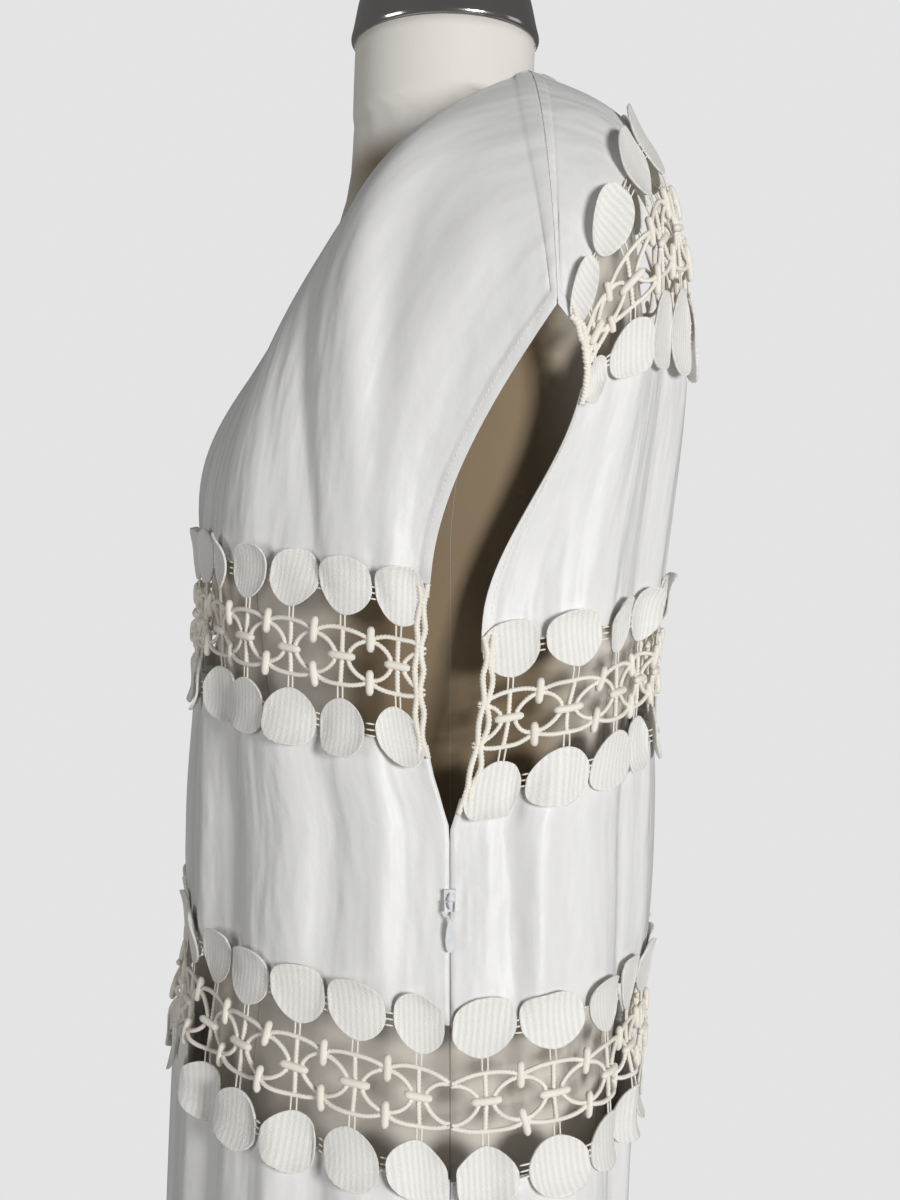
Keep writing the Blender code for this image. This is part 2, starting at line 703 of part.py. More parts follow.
def side_zip(collection, cutters, finish):
    """The slider on the left side seam, and the pull tab that swings from its bail."""
    seam_x = tube_point("front", 1.0, ZIP_Z).x
    face = seam_x + CLOTH + 2 * SEAM_GAP
    mesh = bmesh.new()
    bmesh.ops.create_cube(mesh, size=1)
    bmesh.ops.scale(mesh, vec=(SLIDER_DEPTH, SLIDER_WIDTH, SLIDER_HEIGHT), verts=mesh.verts)
    bmesh.ops.translate(mesh, vec=(face + SLIDER_DEPTH / 2, 0, ZIP_Z), verts=mesh.verts)
    data = bpy.data.meshes.new("zip_slider")
    mesh.to_mesh(data)
    mesh.free()
    slider = new_object("zip_slider", data, collection, finish)
    front = face + SLIDER_DEPTH
    half = 0.36 * SLIDER_HEIGHT
    foot = front - BAIL_RADIUS
    bail = []
    for i in range(BAIL_STEPS + 1):
        angle = math.pi * i / BAIL_STEPS
        out = (BAIL_REACH + BAIL_RADIUS) * math.sin(angle)
        bail.append((foot + out, 0, ZIP_Z + half * math.cos(angle)))
    joined(slider, [tube_mesh(bail, BAIL_RADIUS, False)], cutters)

    axis_x = front + BAIL_REACH - BAIL_RADIUS - WIRE_RADIUS - SEAM_GAP
    axis_z = ZIP_Z
    foot_z = axis_z - LINK_LENGTH
    link = [
        (axis_x, -LINK_WIDTH / 2, axis_z),
        (axis_x, LINK_WIDTH / 2, axis_z),
        (axis_x, 0.5 * LINK_WIDTH, axis_z - 0.6 * LINK_LENGTH),
        (axis_x, 0.12 * LINK_WIDTH, foot_z),
        (axis_x, -0.12 * LINK_WIDTH, foot_z),
        (axis_x, -0.5 * LINK_WIDTH, axis_z - 0.6 * LINK_LENGTH),
    ]
    outline = []
    for i in range(20):
        angle = 2 * math.pi * i / 20
        belly = 0.5 * TAB_WIDTH * math.sin(angle) * (0.72 - 0.28 * math.cos(angle))
        outline.append((belly, 0.5 * TAB_LENGTH * math.cos(angle)))
    mesh = bmesh.new()
    centre_z = foot_z - 0.5 * TAB_LENGTH + WIRE_RADIUS
    near = [mesh.verts.new((axis_x - TAB_THICK / 2, y, centre_z + z)) for y, z in outline]
    far = [mesh.verts.new((axis_x + TAB_THICK / 2, y, centre_z + z)) for y, z in outline]
    mesh.faces.new(near)
    mesh.faces.new(far[::-1])
    for i in range(len(outline)):
        j = (i + 1) % len(outline)
        mesh.faces.new((near[i], far[i], far[j], near[j]))
    bmesh.ops.recalc_face_normals(mesh, faces=mesh.faces)
    bmesh.ops.translate(mesh, vec=(-axis_x, 0, -axis_z), verts=mesh.verts)
    data = bpy.data.meshes.new("zip_pull")
    mesh.to_mesh(data)
    mesh.free()
    wire = tube_mesh([(x - axis_x, y, z - axis_z) for x, y, z in link], WIRE_RADIUS, True)
    pull = new_object("zip_pull", data, collection, finish)
    pull.location = (axis_x, 0, axis_z)
    joined(pull, [wire], cutters)
    for tool in cutters.objects:
        if tool.name.startswith("zip_pull"):
            tool.location = pull.location


def build():
    for old in list(bpy.data.objects):
        bpy.data.objects.remove(old)
    parts = bpy.data.collections.new("sundress on dress form")
    cutters = bpy.data.collections.new("cutters")
    bpy.context.scene.collection.children.link(parts)
    bpy.context.scene.collection.children.link(cutters)
    cloth = material("cloth", (0.72, 0.72, 0.74), 0.55, 0)
    lace = material("lace", (0.80, 0.77, 0.70), 0.85, 0)
    linen = material("form cover", (0.78, 0.74, 0.66), 0.85, 0)
    steel = material("dark steel", (0.22, 0.22, 0.22), 0.25, 1)
    zip_metal = material("white enamel", (0.82, 0.82, 0.82), 0.35, 0)

    yokes = [panel_piece("front_yoke", "front", parts, cloth)]
    panel_piece("front_waist", "front", parts, cloth)
    panel_piece("front_skirt", "front", parts, cloth)
    yokes.append(panel_piece("back_yoke", "back", parts, cloth))
    panel_piece("back_panel", "back", parts, cloth)
    panel_piece("back_waist", "back", parts, cloth)
    panel_piece("back_skirt", "back", parts, cloth)
    band_piece("front_bust_lace", "front", "bust", parts, lace)
    band_piece("front_hip_lace", "front", "hip", parts, lace)
    band_piece("back_yoke_lace", "back", "yoke", parts, lace)
    band_piece("back_bust_lace", "back", "bust", parts, lace)
    band_piece("back_hip_lace", "back", "hip", parts, lace)
    side_zip(parts, cutters, zip_metal)
    form_body(yokes, parts, linen)
    neck_cap(parts, steel)
    stand(parts, steel)


build()
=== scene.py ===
import math

import bpy
import numpy as np
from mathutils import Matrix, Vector


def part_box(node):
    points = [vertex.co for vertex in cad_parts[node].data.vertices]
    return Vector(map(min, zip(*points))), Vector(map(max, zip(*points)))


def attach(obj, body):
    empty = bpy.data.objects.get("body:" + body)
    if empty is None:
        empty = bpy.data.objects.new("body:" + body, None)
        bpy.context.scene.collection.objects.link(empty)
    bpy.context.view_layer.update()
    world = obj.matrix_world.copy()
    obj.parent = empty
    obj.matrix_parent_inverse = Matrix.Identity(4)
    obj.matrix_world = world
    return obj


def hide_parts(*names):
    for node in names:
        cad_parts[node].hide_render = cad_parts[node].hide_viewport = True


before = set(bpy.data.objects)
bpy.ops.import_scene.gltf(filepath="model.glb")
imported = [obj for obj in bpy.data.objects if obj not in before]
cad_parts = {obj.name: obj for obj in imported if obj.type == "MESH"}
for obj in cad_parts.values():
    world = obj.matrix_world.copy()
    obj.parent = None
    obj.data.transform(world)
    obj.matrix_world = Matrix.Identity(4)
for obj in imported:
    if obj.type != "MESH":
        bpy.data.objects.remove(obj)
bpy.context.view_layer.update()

MM = 0.001

# Driving sizes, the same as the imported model's
SEAM_GAP = 0.3 * MM
BAND_HALF = 50 * MM
BAND_LAP = 0.13
BAND_MEASURED_AT = (0.0, 0.5)  # places across where a band's height laid flat is taken
SQUARENESS = 2.5
NECK_X = 71 * MM
NECK_Y = 40 * MM
NECK_Z = 1.396
V_DEPTH = 158 * MM
V_Y = -118 * MM
V_BOW = 22 * MM
NAPE_Y = 62 * MM
NAPE_Z = 1.412
CAP_X = 202 * MM
CAP_Y = 52 * MM
CAP_Z = 1.243
HEM_Z = 0.45

PANELS = {
    "front": {"facing": -1, "repeats": 18, "neck_columns": 8},
    "back": {"facing": 1, "repeats": 15, "neck_columns": 4},
}

LEVELS = (
    # z, half_width, front, back, side_y
    (1.160, 0.177, 0.1510, 0.1240, 0.014),
    (1.130, 0.176, 0.1489, 0.1250, 0.006),
    (1.090, 0.175, 0.1472, 0.1209, 0.002),
    (1.050, 0.175, 0.1465, 0.1167, 0.001),
    (0.990, 0.176, 0.1508, 0.1180, 0.000),
    (0.930, 0.179, 0.1517, 0.1152, 0.000),
    (0.870, 0.184, 0.1512, 0.1075, 0.000),
    (0.800, 0.190, 0.1539, 0.0990, 0.000),
    (0.720, 0.197, 0.1567, 0.0955, 0.000),
    (0.600, 0.209, 0.1626, 0.1000, 0.000),
    (0.440, 0.226, 0.1712, 0.1085, 0.000),
)

ARMHOLE = (
    # z, front_gap, back_gap
    (0.985, 0.000, 0.000),
    (0.995, 0.003, 0.003),
    (1.020, 0.010, 0.009),
    (1.050, 0.013, 0.013),
    (1.090, 0.013, 0.014),
    (1.130, 0.013, 0.013),
    (1.160, 0.013, 0.014),
)
ARMHOLE_FOOT_Z = 0.988

BANDS = {
    "front": {"bust": (1.096, 0.032), "hip": (0.889, 0.038)},
    "back": {"bust": (1.070, 0.033), "hip": (0.864, 0.014)},
}
SIDE_DROP_POWER = 1.5

LEAVING = {
    "front": (
        # across, outward, downward, strength
        (0.00, 0.56, 0.84, 1.02),
        (0.22, 0.56, 1.02, 1.50),
        (0.44, 0.585, 0.508, 1.00),
        (0.75, 1.12, 0.076, 1.30),
        (1.00, 0.54, 0.81, 0.77),
    ),
    "back": (
        (0.00, 0.93, 0.31, 1.15),
        (0.27, 0.81, 0.436, 1.40),
        (0.65, 0.79, 0.086, 1.49),
        (1.00, 0.665, 0.778, 1.09),
    ),
}

YOKE_BAND = (
    # across, top, bottom
    (0.00, 0.170, 0.620),
    (0.55, 0.165, 0.640),
    (0.82, 0.114, 0.500),
    (1.00, 0.035, 0.340),
)

FOLDS = {
    "front": (
        # across, width, depth_mm, start, end, drift
        (0.52, 0.10, 4.0, 0.10, 1.80, 0.06),
        (0.80, 0.10, 4.5, 0.15, 1.80, 0.00),
        (-0.55, 0.10, 4.0, 0.10, 1.80, -0.06),
        (-0.80, 0.10, 4.0, 0.20, 1.80, 0.00),
        (0.36, 0.12, 4.0, 1.20, 3.80, 0.00),
        (0.62, 0.10, 4.5, 1.20, 3.80, 0.01),
        (0.84, 0.08, 3.5, 1.20, 3.80, 0.00),
        (-0.20, 0.12, 3.5, 1.20, 3.80, 0.00),
        (-0.50, 0.10, 4.5, 1.20, 3.80, -0.01),
        (-0.78, 0.10, 4.0, 1.20, 3.80, 0.00),
        (0.08, 0.12, 4.0, 1.20, 3.80, 0.00),
        (0.00, 0.16, 9.0, 3.20, 5.80, 0.00),
        (0.30, 0.14, 8.0, 3.20, 5.80, 0.01),
        (0.58, 0.14, 9.0, 3.20, 5.80, 0.01),
        (0.84, 0.10, 6.0, 3.20, 5.80, 0.00),
        (-0.30, 0.14, 8.5, 3.20, 5.80, -0.01),
        (-0.60, 0.14, 8.0, 3.20, 5.80, -0.01),
        (-0.85, 0.10, 6.0, 3.20, 5.80, 0.00),
    ),
    "back": (
        (0.48, 0.14, 4.0, -0.60, 1.80, -0.02),
        (0.76, 0.12, 3.5, -0.60, 1.80, -0.02),
        (-0.50, 0.14, 3.5, -0.60, 1.80, 0.02),
        (-0.78, 0.12, 4.0, -0.60, 1.80, 0.02),
        (0.08, 0.16, 3.0, -0.60, 1.80, 0.00),
        (0.34, 0.14, 4.5, 1.20, 3.80, 0.00),
        (0.68, 0.12, 5.0, 1.20, 3.80, 0.01),
        (-0.30, 0.14, 4.5, 1.20, 3.80, 0.00),
        (-0.66, 0.12, 4.5, 1.20, 3.80, -0.01),
        (0.00, 0.18, 9.0, 3.20, 5.80, 0.00),
        (0.36, 0.16, 8.0, 3.20, 5.80, 0.01),
        (0.70, 0.14, 8.0, 3.20, 5.80, 0.01),
        (-0.36, 0.16, 8.5, 3.20, 5.80, -0.01),
        (-0.70, 0.14, 8.0, 3.20, 5.80, -0.01),
    ),
}
FOLD_FADE = 0.60
TOP_FADE = 0.25
EDGE_FADE = 0.15

# Finer soft folds that only the looks have: ridges have a positive depth, troughs a negative one
SOFT_FOLDS = {
    "front": (
        # across, width, depth_mm, start, end, drift
        (0.66, 0.045, 5.1, -0.10, 1.60, 0.22),
        (0.58, 0.034, -4.0, 0.15, 1.50, 0.20),
        (0.86, 0.035, 4.2, -0.10, 1.50, 0.06),
        (0.78, 0.026, -4.2, 0.15, 1.55, 0.13),
        (0.42, 0.060, 2.6, 0.00, 1.20, 0.16),
        (0.30, 0.050, -1.2, 0.20, 1.30, 0.10),
        (0.50, 0.030, 1.9, 0.55, 1.60, 0.04),
        (-0.64, 0.045, 4.8, -0.10, 1.60, -0.20),
        (-0.56, 0.036, -3.8, 0.15, 1.50, -0.21),
        (-0.87, 0.035, 3.5, -0.10, 1.50, -0.05),
        (-0.38, 0.060, 2.6, 0.00, 1.30, -0.14),
        (0.44, 0.035, 4.8, 1.50, 3.30, 0.00),
        (0.53, 0.028, -3.8, 1.40, 3.40, 0.01),
        (0.70, 0.045, 3.2, 1.60, 3.20, 0.00),
        (0.79, 0.028, -2.6, 1.50, 3.20, -0.02),
        (0.90, 0.024, 2.9, 1.60, 3.10, -0.02),
        (0.24, 0.032, 3.8, 1.40, 3.20, 0.00),
        (0.15, 0.028, -2.6, 1.60, 3.30, 0.01),
        (-0.06, 0.035, 3.5, 1.50, 3.20, 0.00),
        (-0.33, 0.035, 4.2, 1.50, 3.30, 0.01),
        (-0.42, 0.028, -3.2, 1.40, 3.20, 0.00),
        (-0.64, 0.040, 3.5, 1.60, 3.40, 0.00),
        (-0.88, 0.028, 2.9, 1.50, 3.10, 0.01),
        (0.46, 0.035, 6.7, 3.30, 5.90, -0.01),
        (0.53, 0.028, -4.6, 3.40, 5.80, 0.00),
        (0.68, 0.030, 5.1, 3.30, 5.60, 0.01),
        (0.76, 0.025, -3.8, 3.40, 5.40, 0.01),
        (0.92, 0.026, 3.8, 3.30, 5.20, -0.01),
        (0.20, 0.035, 5.8, 3.30, 5.80, 0.01),
        (0.12, 0.028, -4.1, 3.40, 5.60, 0.01),
        (-0.14, 0.035, 5.4, 3.30, 5.90, -0.01),
        (-0.22, 0.026, -3.8, 3.50, 5.60, 0.00),
        (-0.45, 0.035, 6.1, 3.40, 5.90, 0.00),
        (-0.72, 0.030, 4.8, 3.30, 5.50, -0.01),
        (-0.93, 0.026, 3.5, 3.40, 5.30, 0.01),
    ),
    "back": (
        (0.74, 0.060, 4.8, -0.40, 1.60, 0.02),
        (0.60, 0.045, -2.4, 0.30, 1.60, -0.05),
        (0.88, 0.030, 2.9, 0.30, 1.60, -0.06),
        (0.66, 0.024, 2.2, 0.50, 1.50, 0.10),
        (0.46, 0.035, 3.2, 0.30, 1.60, 0.02),
        (0.30, 0.045, -1.6, 0.20, 1.50, 0.03),
        (0.16, 0.045, 2.9, 0.20, 1.60, 0.02),
        (-0.10, 0.045, -1.4, 0.20, 1.50, 0.00),
        (-0.36, 0.040, 3.2, 0.30, 1.60, -0.02),
        (-0.62, 0.045, -2.0, 0.30, 1.60, 0.04),
        (-0.74, 0.050, 4.2, -0.40, 1.60, -0.02),
        (0.80, 0.035, 4.8, 1.50, 3.30, 0.02),
        (0.90, 0.024, -3.2, 1.40, 3.20, -0.02),
        (0.56, 0.030, -3.5, 1.50, 3.30, 0.01),
        (0.46, 0.032, 3.8, 1.50, 3.20, 0.00),
        (0.22, 0.035, -2.9, 1.50, 3.30, 0.00),
        (0.10, 0.040, 3.8, 1.60, 3.20, 0.01),
        (-0.12, 0.030, -2.6, 1.50, 3.30, 0.01),
        (-0.44, 0.035, 3.8, 1.50, 3.20, 0.00),
        (-0.56, 0.030, -2.9, 1.40, 3.30, 0.00),
        (-0.82, 0.035, 3.8, 1.60, 3.20, -0.01),
        (0.52, 0.032, 5.8, 3.40, 5.90, 0.01),
        (0.60, 0.026, -4.3, 3.30, 5.60, 0.01),
        (0.88, 0.030, 4.2, 3.30, 5.40, 0.00),
        (0.22, 0.035, 5.1, 3.30, 5.90, 0.00),
        (0.13, 0.028, -3.8, 3.40, 5.60, 0.01),
        (-0.18, 0.035, 5.4, 3.40, 5.80, -0.01),
        (-0.50, 0.032, 5.1, 3.30, 5.90, 0.00),
        (-0.58, 0.026, -4.1, 3.40, 5.60, 0.00),
        (-0.88, 0.030, 3.8, 3.30, 5.30, 0.01),
    ),
}
SOFT_FADE = 0.35

# Puckers along a side seam: how far down the dress they come, and how deep and far in they are
PUCKER_PITCH = 19 * MM
PUCKER_DEPTH = 1.5 * MM
PUCKER_REACH = 16 * MM

# Cloth and sewing
WALL = 0.9 * MM
HEM_FOLD = 5.0 * MM  # from the edge to where a turned hem starts to come down
HEM_SLOPE = 1.1 * MM
HEM_RAISE = 0.75 * MM
SEAM_TOP_Z = 1.35
NECK_CORNER_Z = 1.30  # above it the form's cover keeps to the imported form's straight sides
NECK_CORNER_FADE = 0.04
NECK_FOOT_Z = 1.402
NECK_FOOT_FADE = 0.008
COVER_INSET = 1.2 * MM
NECK_COVER_FOOT = 1.360
NECK_COVER_TOP = 1.385
# Where the form's cover turns tan under the arms; that tan is painted dark as painted shade inside the
# armholes
ARMHOLE_SHADE_HALF_Y = 0.040
CREAM_Y = 0.080
ARMHOLE_SHADE_FOOT_Z = 0.93
ARMHOLE_SHADE_FULL_Z = 1.00
SEAM_FOOT_Z = 0.71
STITCH_LENGTH = 1.9 * MM
STITCH_PITCH = 2.7 * MM
STITCH_RADIUS = 0.24 * MM
WELT_RADIUS = 0.8 * MM
COLUMN_STEP = 2.8 * MM
ROW_STEP = {"front_yoke": 4 * MM, "back_yoke": 4 * MM, "back_panel": 4 * MM}
LONG_ROW_STEP = 8 * MM
EDGE_STEPS = (0.0, 0.4, 1.5, 4.6, 5.5, 6.2, 7.4)  # millimetres in from a finished edge

# How each panel of cloth is held
HELD = {
    "front_yoke": "gathered",
    "front_waist": "hung",
    "front_skirt": "hung",
    "back_yoke": "draped",
    "back_panel": "hung",
    "back_waist": "hung",
    "back_skirt": "hung",
}

# Openwork, in half repeats across and millimetres up from the band's middle
LACE_LIFT = 1.9 * MM
CORD_RADIUS = 1.15 * MM
CORD_STEP = 0.62 * MM
CORD_SIDES = 8
TWIST_PITCH = 3.8 * MM
TWIST_DEPTH = 0.22
THREAD_RADIUS = 0.5 * MM
WRAP_RADIUS = 2.0 * MM
ARCH = ((-1.0, 10.6), (-0.75, 12.6), (-0.4, 13.8), (0.0, 14.0), (0.4, 13.6), (0.75, 12.2), (1.0, 10.6))
ARC = ((-1.0, 9.6), (-0.76, 9.2), (-0.48, 6.8), (-0.27, 3.0), (-0.24, 0.0))
STEM_TOP = 14.0
TIE = (4.6, 17.4)
TIE_LEAN = 0.07
EDGE_CORD_RADIUS = 1.5 * MM
KNOT_HALF = 0.46
THREAD_SIDE = 0.085
OVAL_MIDDLE = 35.4
OVAL_HEIGHT = 14.6
OVAL_WIDTH = 0.93
OVAL_ROWS = (-1.0, -0.95, -0.86, 0.0, 0.5, 0.86, 0.95, 1.0)
OVAL_REACH = 0.992
OVAL_OUTER_POWER = 2.5
OVAL_INNER_POWER = 1.75
COLUMNS_PER_RIB = 4
RIB_HEIGHT = 0.17 * MM
RIM_HEIGHT = 0.55 * MM
OVAL_THICK = 0.8 * MM
OVAL_TILT = 1.7  # millimetres, as is the next
OVAL_DISH = 0.5
OVAL_RIBS = 10
WAVE_TURN = 20  # a wave texture's phase for each unit across

# Turned steel, from the top down: (radius, height) as shares of the cap's, and in millimetres
CAP_SHAPE = (
    (0.01, 1.0), (0.45, 0.96), (0.78, 0.84), (0.90, 0.66),
    (0.97, 0.20), (1.0, 0.06), (0.97, 0.0), (0.9, 0.0),
)
BASE_SHAPE = ((0.001, 34), (29, 34), (32, 31), (36, 18), (180, 11), (190, 6), (190, 0), (185, 0))
FLOOR_RADIUS = 1.35

# Camera: level, from the wearer's left, at the distance and field that the photograph shows
CAMERA_X = 0.90
CAMERA_Z = 1.10
PICTURE = (900, 1200)
FOCAL_PIXELS = 1440


def smooth(table, keys, column):
    """A column of a table at keys between its rows, on a smooth curve."""
    rows = sorted(table)
    x = np.array([row[0] for row in rows])
    y = np.array([row[column] for row in rows])
    slopes = np.gradient(y)
    slopes[1:-1] = (y[2:] - y[:-2]) / (x[2:] - x[:-2])
    slopes[0] = (y[1] - y[0]) / (x[1] - x[0])
    slopes[-1] = (y[-1] - y[-2]) / (x[-1] - x[-2])
    keys = np.clip(keys, x[0], x[-1])
    i = np.clip(np.searchsorted(x, keys) - 1, 0, len(x) - 2)
    span = x[i + 1] - x[i]
    t = (keys - x[i]) / span
    rise = 3 * t * t - 2 * t**3
    bend = span * (slopes[i] * t * (1 - t) ** 2 - slopes[i + 1] * t * t * (1 - t))
    return y[i] * (1 - rise) + y[i + 1] * rise + bend


def fade(x):
    """0 below 0, 1 above 1, and smooth between."""
    x = np.clip(x, 0, 1)
    return x * x * (3 - 2 * x)


def superellipse(angle, half_width, depth):
    """How far a section reaches at an angle from its front or back middle."""
    across = (np.abs(np.sin(angle)) / half_width) ** SQUARENESS
    along = (np.abs(np.cos(angle)) / depth) ** SQUARENESS
    return (across + along) ** (-1 / SQUARENESS)


def even_angles(panel):
    """Angles that lie evenly along half of a panel's section at the bust, and its length."""
    _, half_width, front, back, _ = LEVELS[2]
    angles = np.linspace(0, math.pi / 2, 61)
    reach = superellipse(angles, half_width, front if panel == "front" else back)
    x, y = reach * np.sin(angles), reach * np.cos(angles)
    along = np.concatenate([[0], np.cumsum(np.hypot(np.diff(x), np.diff(y)))])
    return along / along[-1], angles, along[-1]


EVEN = {panel: even_angles(panel) for panel in PANELS}


def half_arc(panel):
    return EVEN[panel][2]


def tube_point(panel, across, z):
    """Points of the dress's level sections at heights."""
    facing = PANELS[panel]["facing"]
    half_width, front, back, side_y = (smooth(LEVELS, z, c) for c in (1, 2, 3, 4))
    gap = np.maximum(0, smooth(ARMHOLE, z, 1 if facing < 0 else 2))
    depth = front + side_y if facing < 0 else back - side_y
    limit = math.pi / 2 - np.arcsin(gap / half_width)
    share, angles, _ = EVEN[panel]
    angle = np.interp(np.abs(across), share, angles) * limit / (math.pi / 2)
    reach = superellipse(angle, half_width, depth)
    x = np.sign(across) * reach * np.sin(angle)
    return np.stack([x, side_y + facing * reach * np.cos(angle), z], -1)


def level_of(panel, across, down):
    """The heights of places on the dress below the bust band's top edge."""
    heights = []
    for middle, drop in BANDS[panel].values():
        here = middle - drop * np.abs(across) ** SIDE_DROP_POWER
        heights += [here + BAND_HALF, here - BAND_HALF]
    heights.append(np.full_like(across, HEM_Z))
    heights = np.array(heights)
    step = np.clip(down.astype(int), 1, 4)
    place = np.arange(len(across))
    upper, lower = heights[step - 1, place], heights[step, place]
    return upper + (lower - upper) * (down - step)


def top_point(panel, across):
    """Points of the neckline, and of the shoulder seam past it."""
    facing = PANELS[panel]["facing"]
    neck_share = PANELS[panel]["neck_columns"] / PANELS[panel]["repeats"]
    seam_y = NECK_Y + facing * SEAM_GAP
    place = np.abs(across)
    q = np.minimum(place / neck_share, 1)
    r = np.maximum((place - neck_share) / (1 - neck_share), 0)
    if panel == "front":
        y = V_Y + (seam_y - V_Y) * q - V_BOW * np.sin(q * math.pi)
        z = NECK_Z - V_DEPTH * (1 - q)
    else:
        y = NAPE_Y + (seam_y - NAPE_Y) * q * q
        z = NAPE_Z + (NECK_Z - NAPE_Z) * q * q
    neck = np.stack([NECK_X * np.sin(q * math.pi / 2), y, z], -1)
    seam_x = NECK_X + (CAP_X - NECK_X) * np.sin(r * math.pi / 2)
    seam_z = CAP_Z + (NECK_Z - CAP_Z) * np.cos(r * math.pi / 2)
    seam = np.stack([seam_x, seam_y + (CAP_Y - NECK_Y) * r, seam_z], -1)
    point = np.where((place < neck_share)[:, None], neck, seam)
    point[:, 0] *= np.sign(across)
    return point


def upper_point(panel, across, down):
    """Points between the neckline or shoulder seam and the bust band's top edge."""
    facing = PANELS[panel]["facing"]
    start = top_point(panel, across)
    top_edge = level_of(panel, across, np.ones_like(across))
    end = tube_point(panel, across, top_edge)
    below = tube_point(panel, across, top_edge - 10 * MM)
    long = np.linalg.norm(end - start, axis=1)[:, None]
    outward, downward, strength = (smooth(LEAVING[panel], np.abs(across), c) for c in (1, 2, 3))
    leave = np.stack([np.zeros_like(across), facing * outward, -downward], -1)
    leave *= long * strength[:, None]
    arrive = (below - end) / np.linalg.norm(below - end, axis=1)[:, None] * long
    t = down[:, None]
    return (
        start * (2 * t**3 - 3 * t * t + 1)
        + leave * (t**3 - 2 * t * t + t)
        + end * (3 * t * t - 2 * t**3)
        + arrive * (t**3 - t * t)
    )


def rest_point(panel, across, down):
    """Points of the rest surface before its folds."""
    upper = upper_point(panel, across, np.clip(down, 0, 1))
    lower = tube_point(panel, across, level_of(panel, across, np.maximum(down, 1)))
    return np.where((down < 1)[:, None], upper, lower)


def folds_of(table, fade_length, panel, across, down):
    """How far a table of folds pushes the cloth out."""
    total = np.zeros_like(across)
    for middle, width, depth, start, end, drift in table[panel]:
        here = middle + drift * (down - start)
        ends = fade((down - start) / fade_length) * fade((end - down) / fade_length)
        total += depth * MM * np.exp(-(((across - here) / width) ** 2)) * ends
    return total


def surface(panel):
    """The cloth's inner face as an even grid: places across, places down, points and normals."""
    columns = 16 * PANELS[panel]["repeats"] + 1
    across = np.linspace(-1, 1, columns)
    down = np.linspace(0, 5, 501)
    u, v = np.meshgrid(across, down, indexing="ij")
    shape = (*u.shape, 3)
    points = rest_point(panel, u.ravel(), v.ravel()).reshape(shape)
    normals = normals_of(points, PANELS[panel]["facing"], 8, 3)
    edge = half_arc(panel) * (1 - np.abs(u))
    big = folds_of(FOLDS, FOLD_FADE, panel, u.ravel(), v.ravel()).reshape(u.shape)
    fine = folds_of(SOFT_FOLDS, SOFT_FADE, panel, u.ravel(), v.ravel()).reshape(u.shape)
    push = (big + fine) * fade((1 - np.abs(u)) / EDGE_FADE) * fade(v / TOP_FADE)
    z = points[..., 2]
    ripple = np.sin(2 * math.pi * z / PUCKER_PITCH + 3 * np.sin(z / (61 * MM)) + np.sign(u))
    push += PUCKER_DEPTH * (0.5 + 0.5 * ripple) * fade(1 - edge / PUCKER_REACH) * fade((v - 0.9) * 4)
    points = points + normals * push[..., None]
    return across, down, points, normals_of(points, PANELS[panel]["facing"], 2, 2)


def normals_of(points, facing, wide, tall):
    """The outward directions of a grid of points, felt over some columns and rows."""
    def differences(grid, axis, reach):
        grid = np.moveaxis(grid, axis, 0)
        last = len(grid) - 1
        after = grid[np.minimum(np.arange(last + 1) + reach, last)]
        before = grid[np.maximum(np.arange(last + 1) - reach, 0)]
        return np.moveaxis(after - before, 0, axis)

    normals = np.cross(differences(points, 0, wide), differences(points, 1, tall)) * facing
    return normals / np.linalg.norm(normals, axis=-1)[..., None]


SURFACE = {panel: surface(panel) for panel in PANELS}


def cloth(panel, across, down, lift):
    """Points at places on the cloth, lifted off its inner face."""
    columns, rows, points, normals = SURFACE[panel]
    i = np.clip((across + 1) / 2 * (len(columns) - 1), 0, len(columns) - 1 - 1e-6)
    j = np.clip(down / 5 * (len(rows) - 1), 0, len(rows) - 1 - 1e-6)
    a, b = i.astype(int), j.astype(int)
    s, t = (i - a)[:, None], (j - b)[:, None]

    def between(grid):
        low = grid[a, b] * (1 - s) + grid[a + 1, b] * s
        high = grid[a, b + 1] * (1 - s) + grid[a + 1, b + 1] * s
        return low * (1 - t) + high * t

    normal = between(normals)
    normal /= np.linalg.norm(normal, axis=1)[:, None]
    return between(points) + normal * np.reshape(lift, (-1, 1)), normal


def yoke_band_edges(across):
    """Where down the band over the shoulders starts and ends."""
    return smooth(YOKE_BAND, np.abs(across), 1), smooth(YOKE_BAND, np.abs(across), 2)


def band_down(band, across, up_mm):
    """The places down of heights in a band, measured from the band's middle."""
    share = 0.5 - up_mm * MM / (2 * BAND_HALF)
    if band == "yoke":
        top, bottom = yoke_band_edges(across)
        return top + (bottom - top) * share
    return (1 if band == "bust" else 3) + share


def panel_ends(name, across):
    """The places down where a panel of cloth starts and ends."""
    top, bottom = yoke_band_edges(across)
    lap = (bottom - top) * BAND_LAP
    same = np.ones_like(across)
    return {
        "front_yoke": (0 * same, (1 + BAND_LAP) * same),
        "front_waist": ((2 - BAND_LAP) * same, (3 + BAND_LAP) * same),
        "front_skirt": ((4 - BAND_LAP) * same, 5 * same),
        "back_yoke": (0 * same, top + lap),
        "back_panel": (bottom - lap, (1 + BAND_LAP) * same),
        "back_waist": ((2 - BAND_LAP) * same, (3 + BAND_LAP) * same),
        "back_skirt": ((4 - BAND_LAP) * same, 5 * same),
    }[name]


def spaced(length, step, first_fine, last_fine):
    """Places from 0 to a length in even steps, with close ones beside a finished edge."""
    fine = np.array(EDGE_STEPS) * MM
    start = fine if first_fine else fine[:1]
    end = length - (fine if last_fine else fine[:1])[::-1]
    count = max(2, round((end[0] - start[-1]) / step))
    return np.concatenate([start[:-1], np.linspace(start[-1], end[0], count + 1), end[1:]])


def material(name, colour, roughness, **sockets):
    made = bpy.data.materials.new(name)
    made.use_nodes = True
    shader = made.node_tree.nodes["Principled BSDF"]
    shader.inputs["Base Color"].default_value = (*colour, 1)
    shader.inputs["Roughness"].default_value = roughness
    for socket, value in sockets.items():
        shader.inputs[socket.replace("_", " ")].default_value = value
    return made


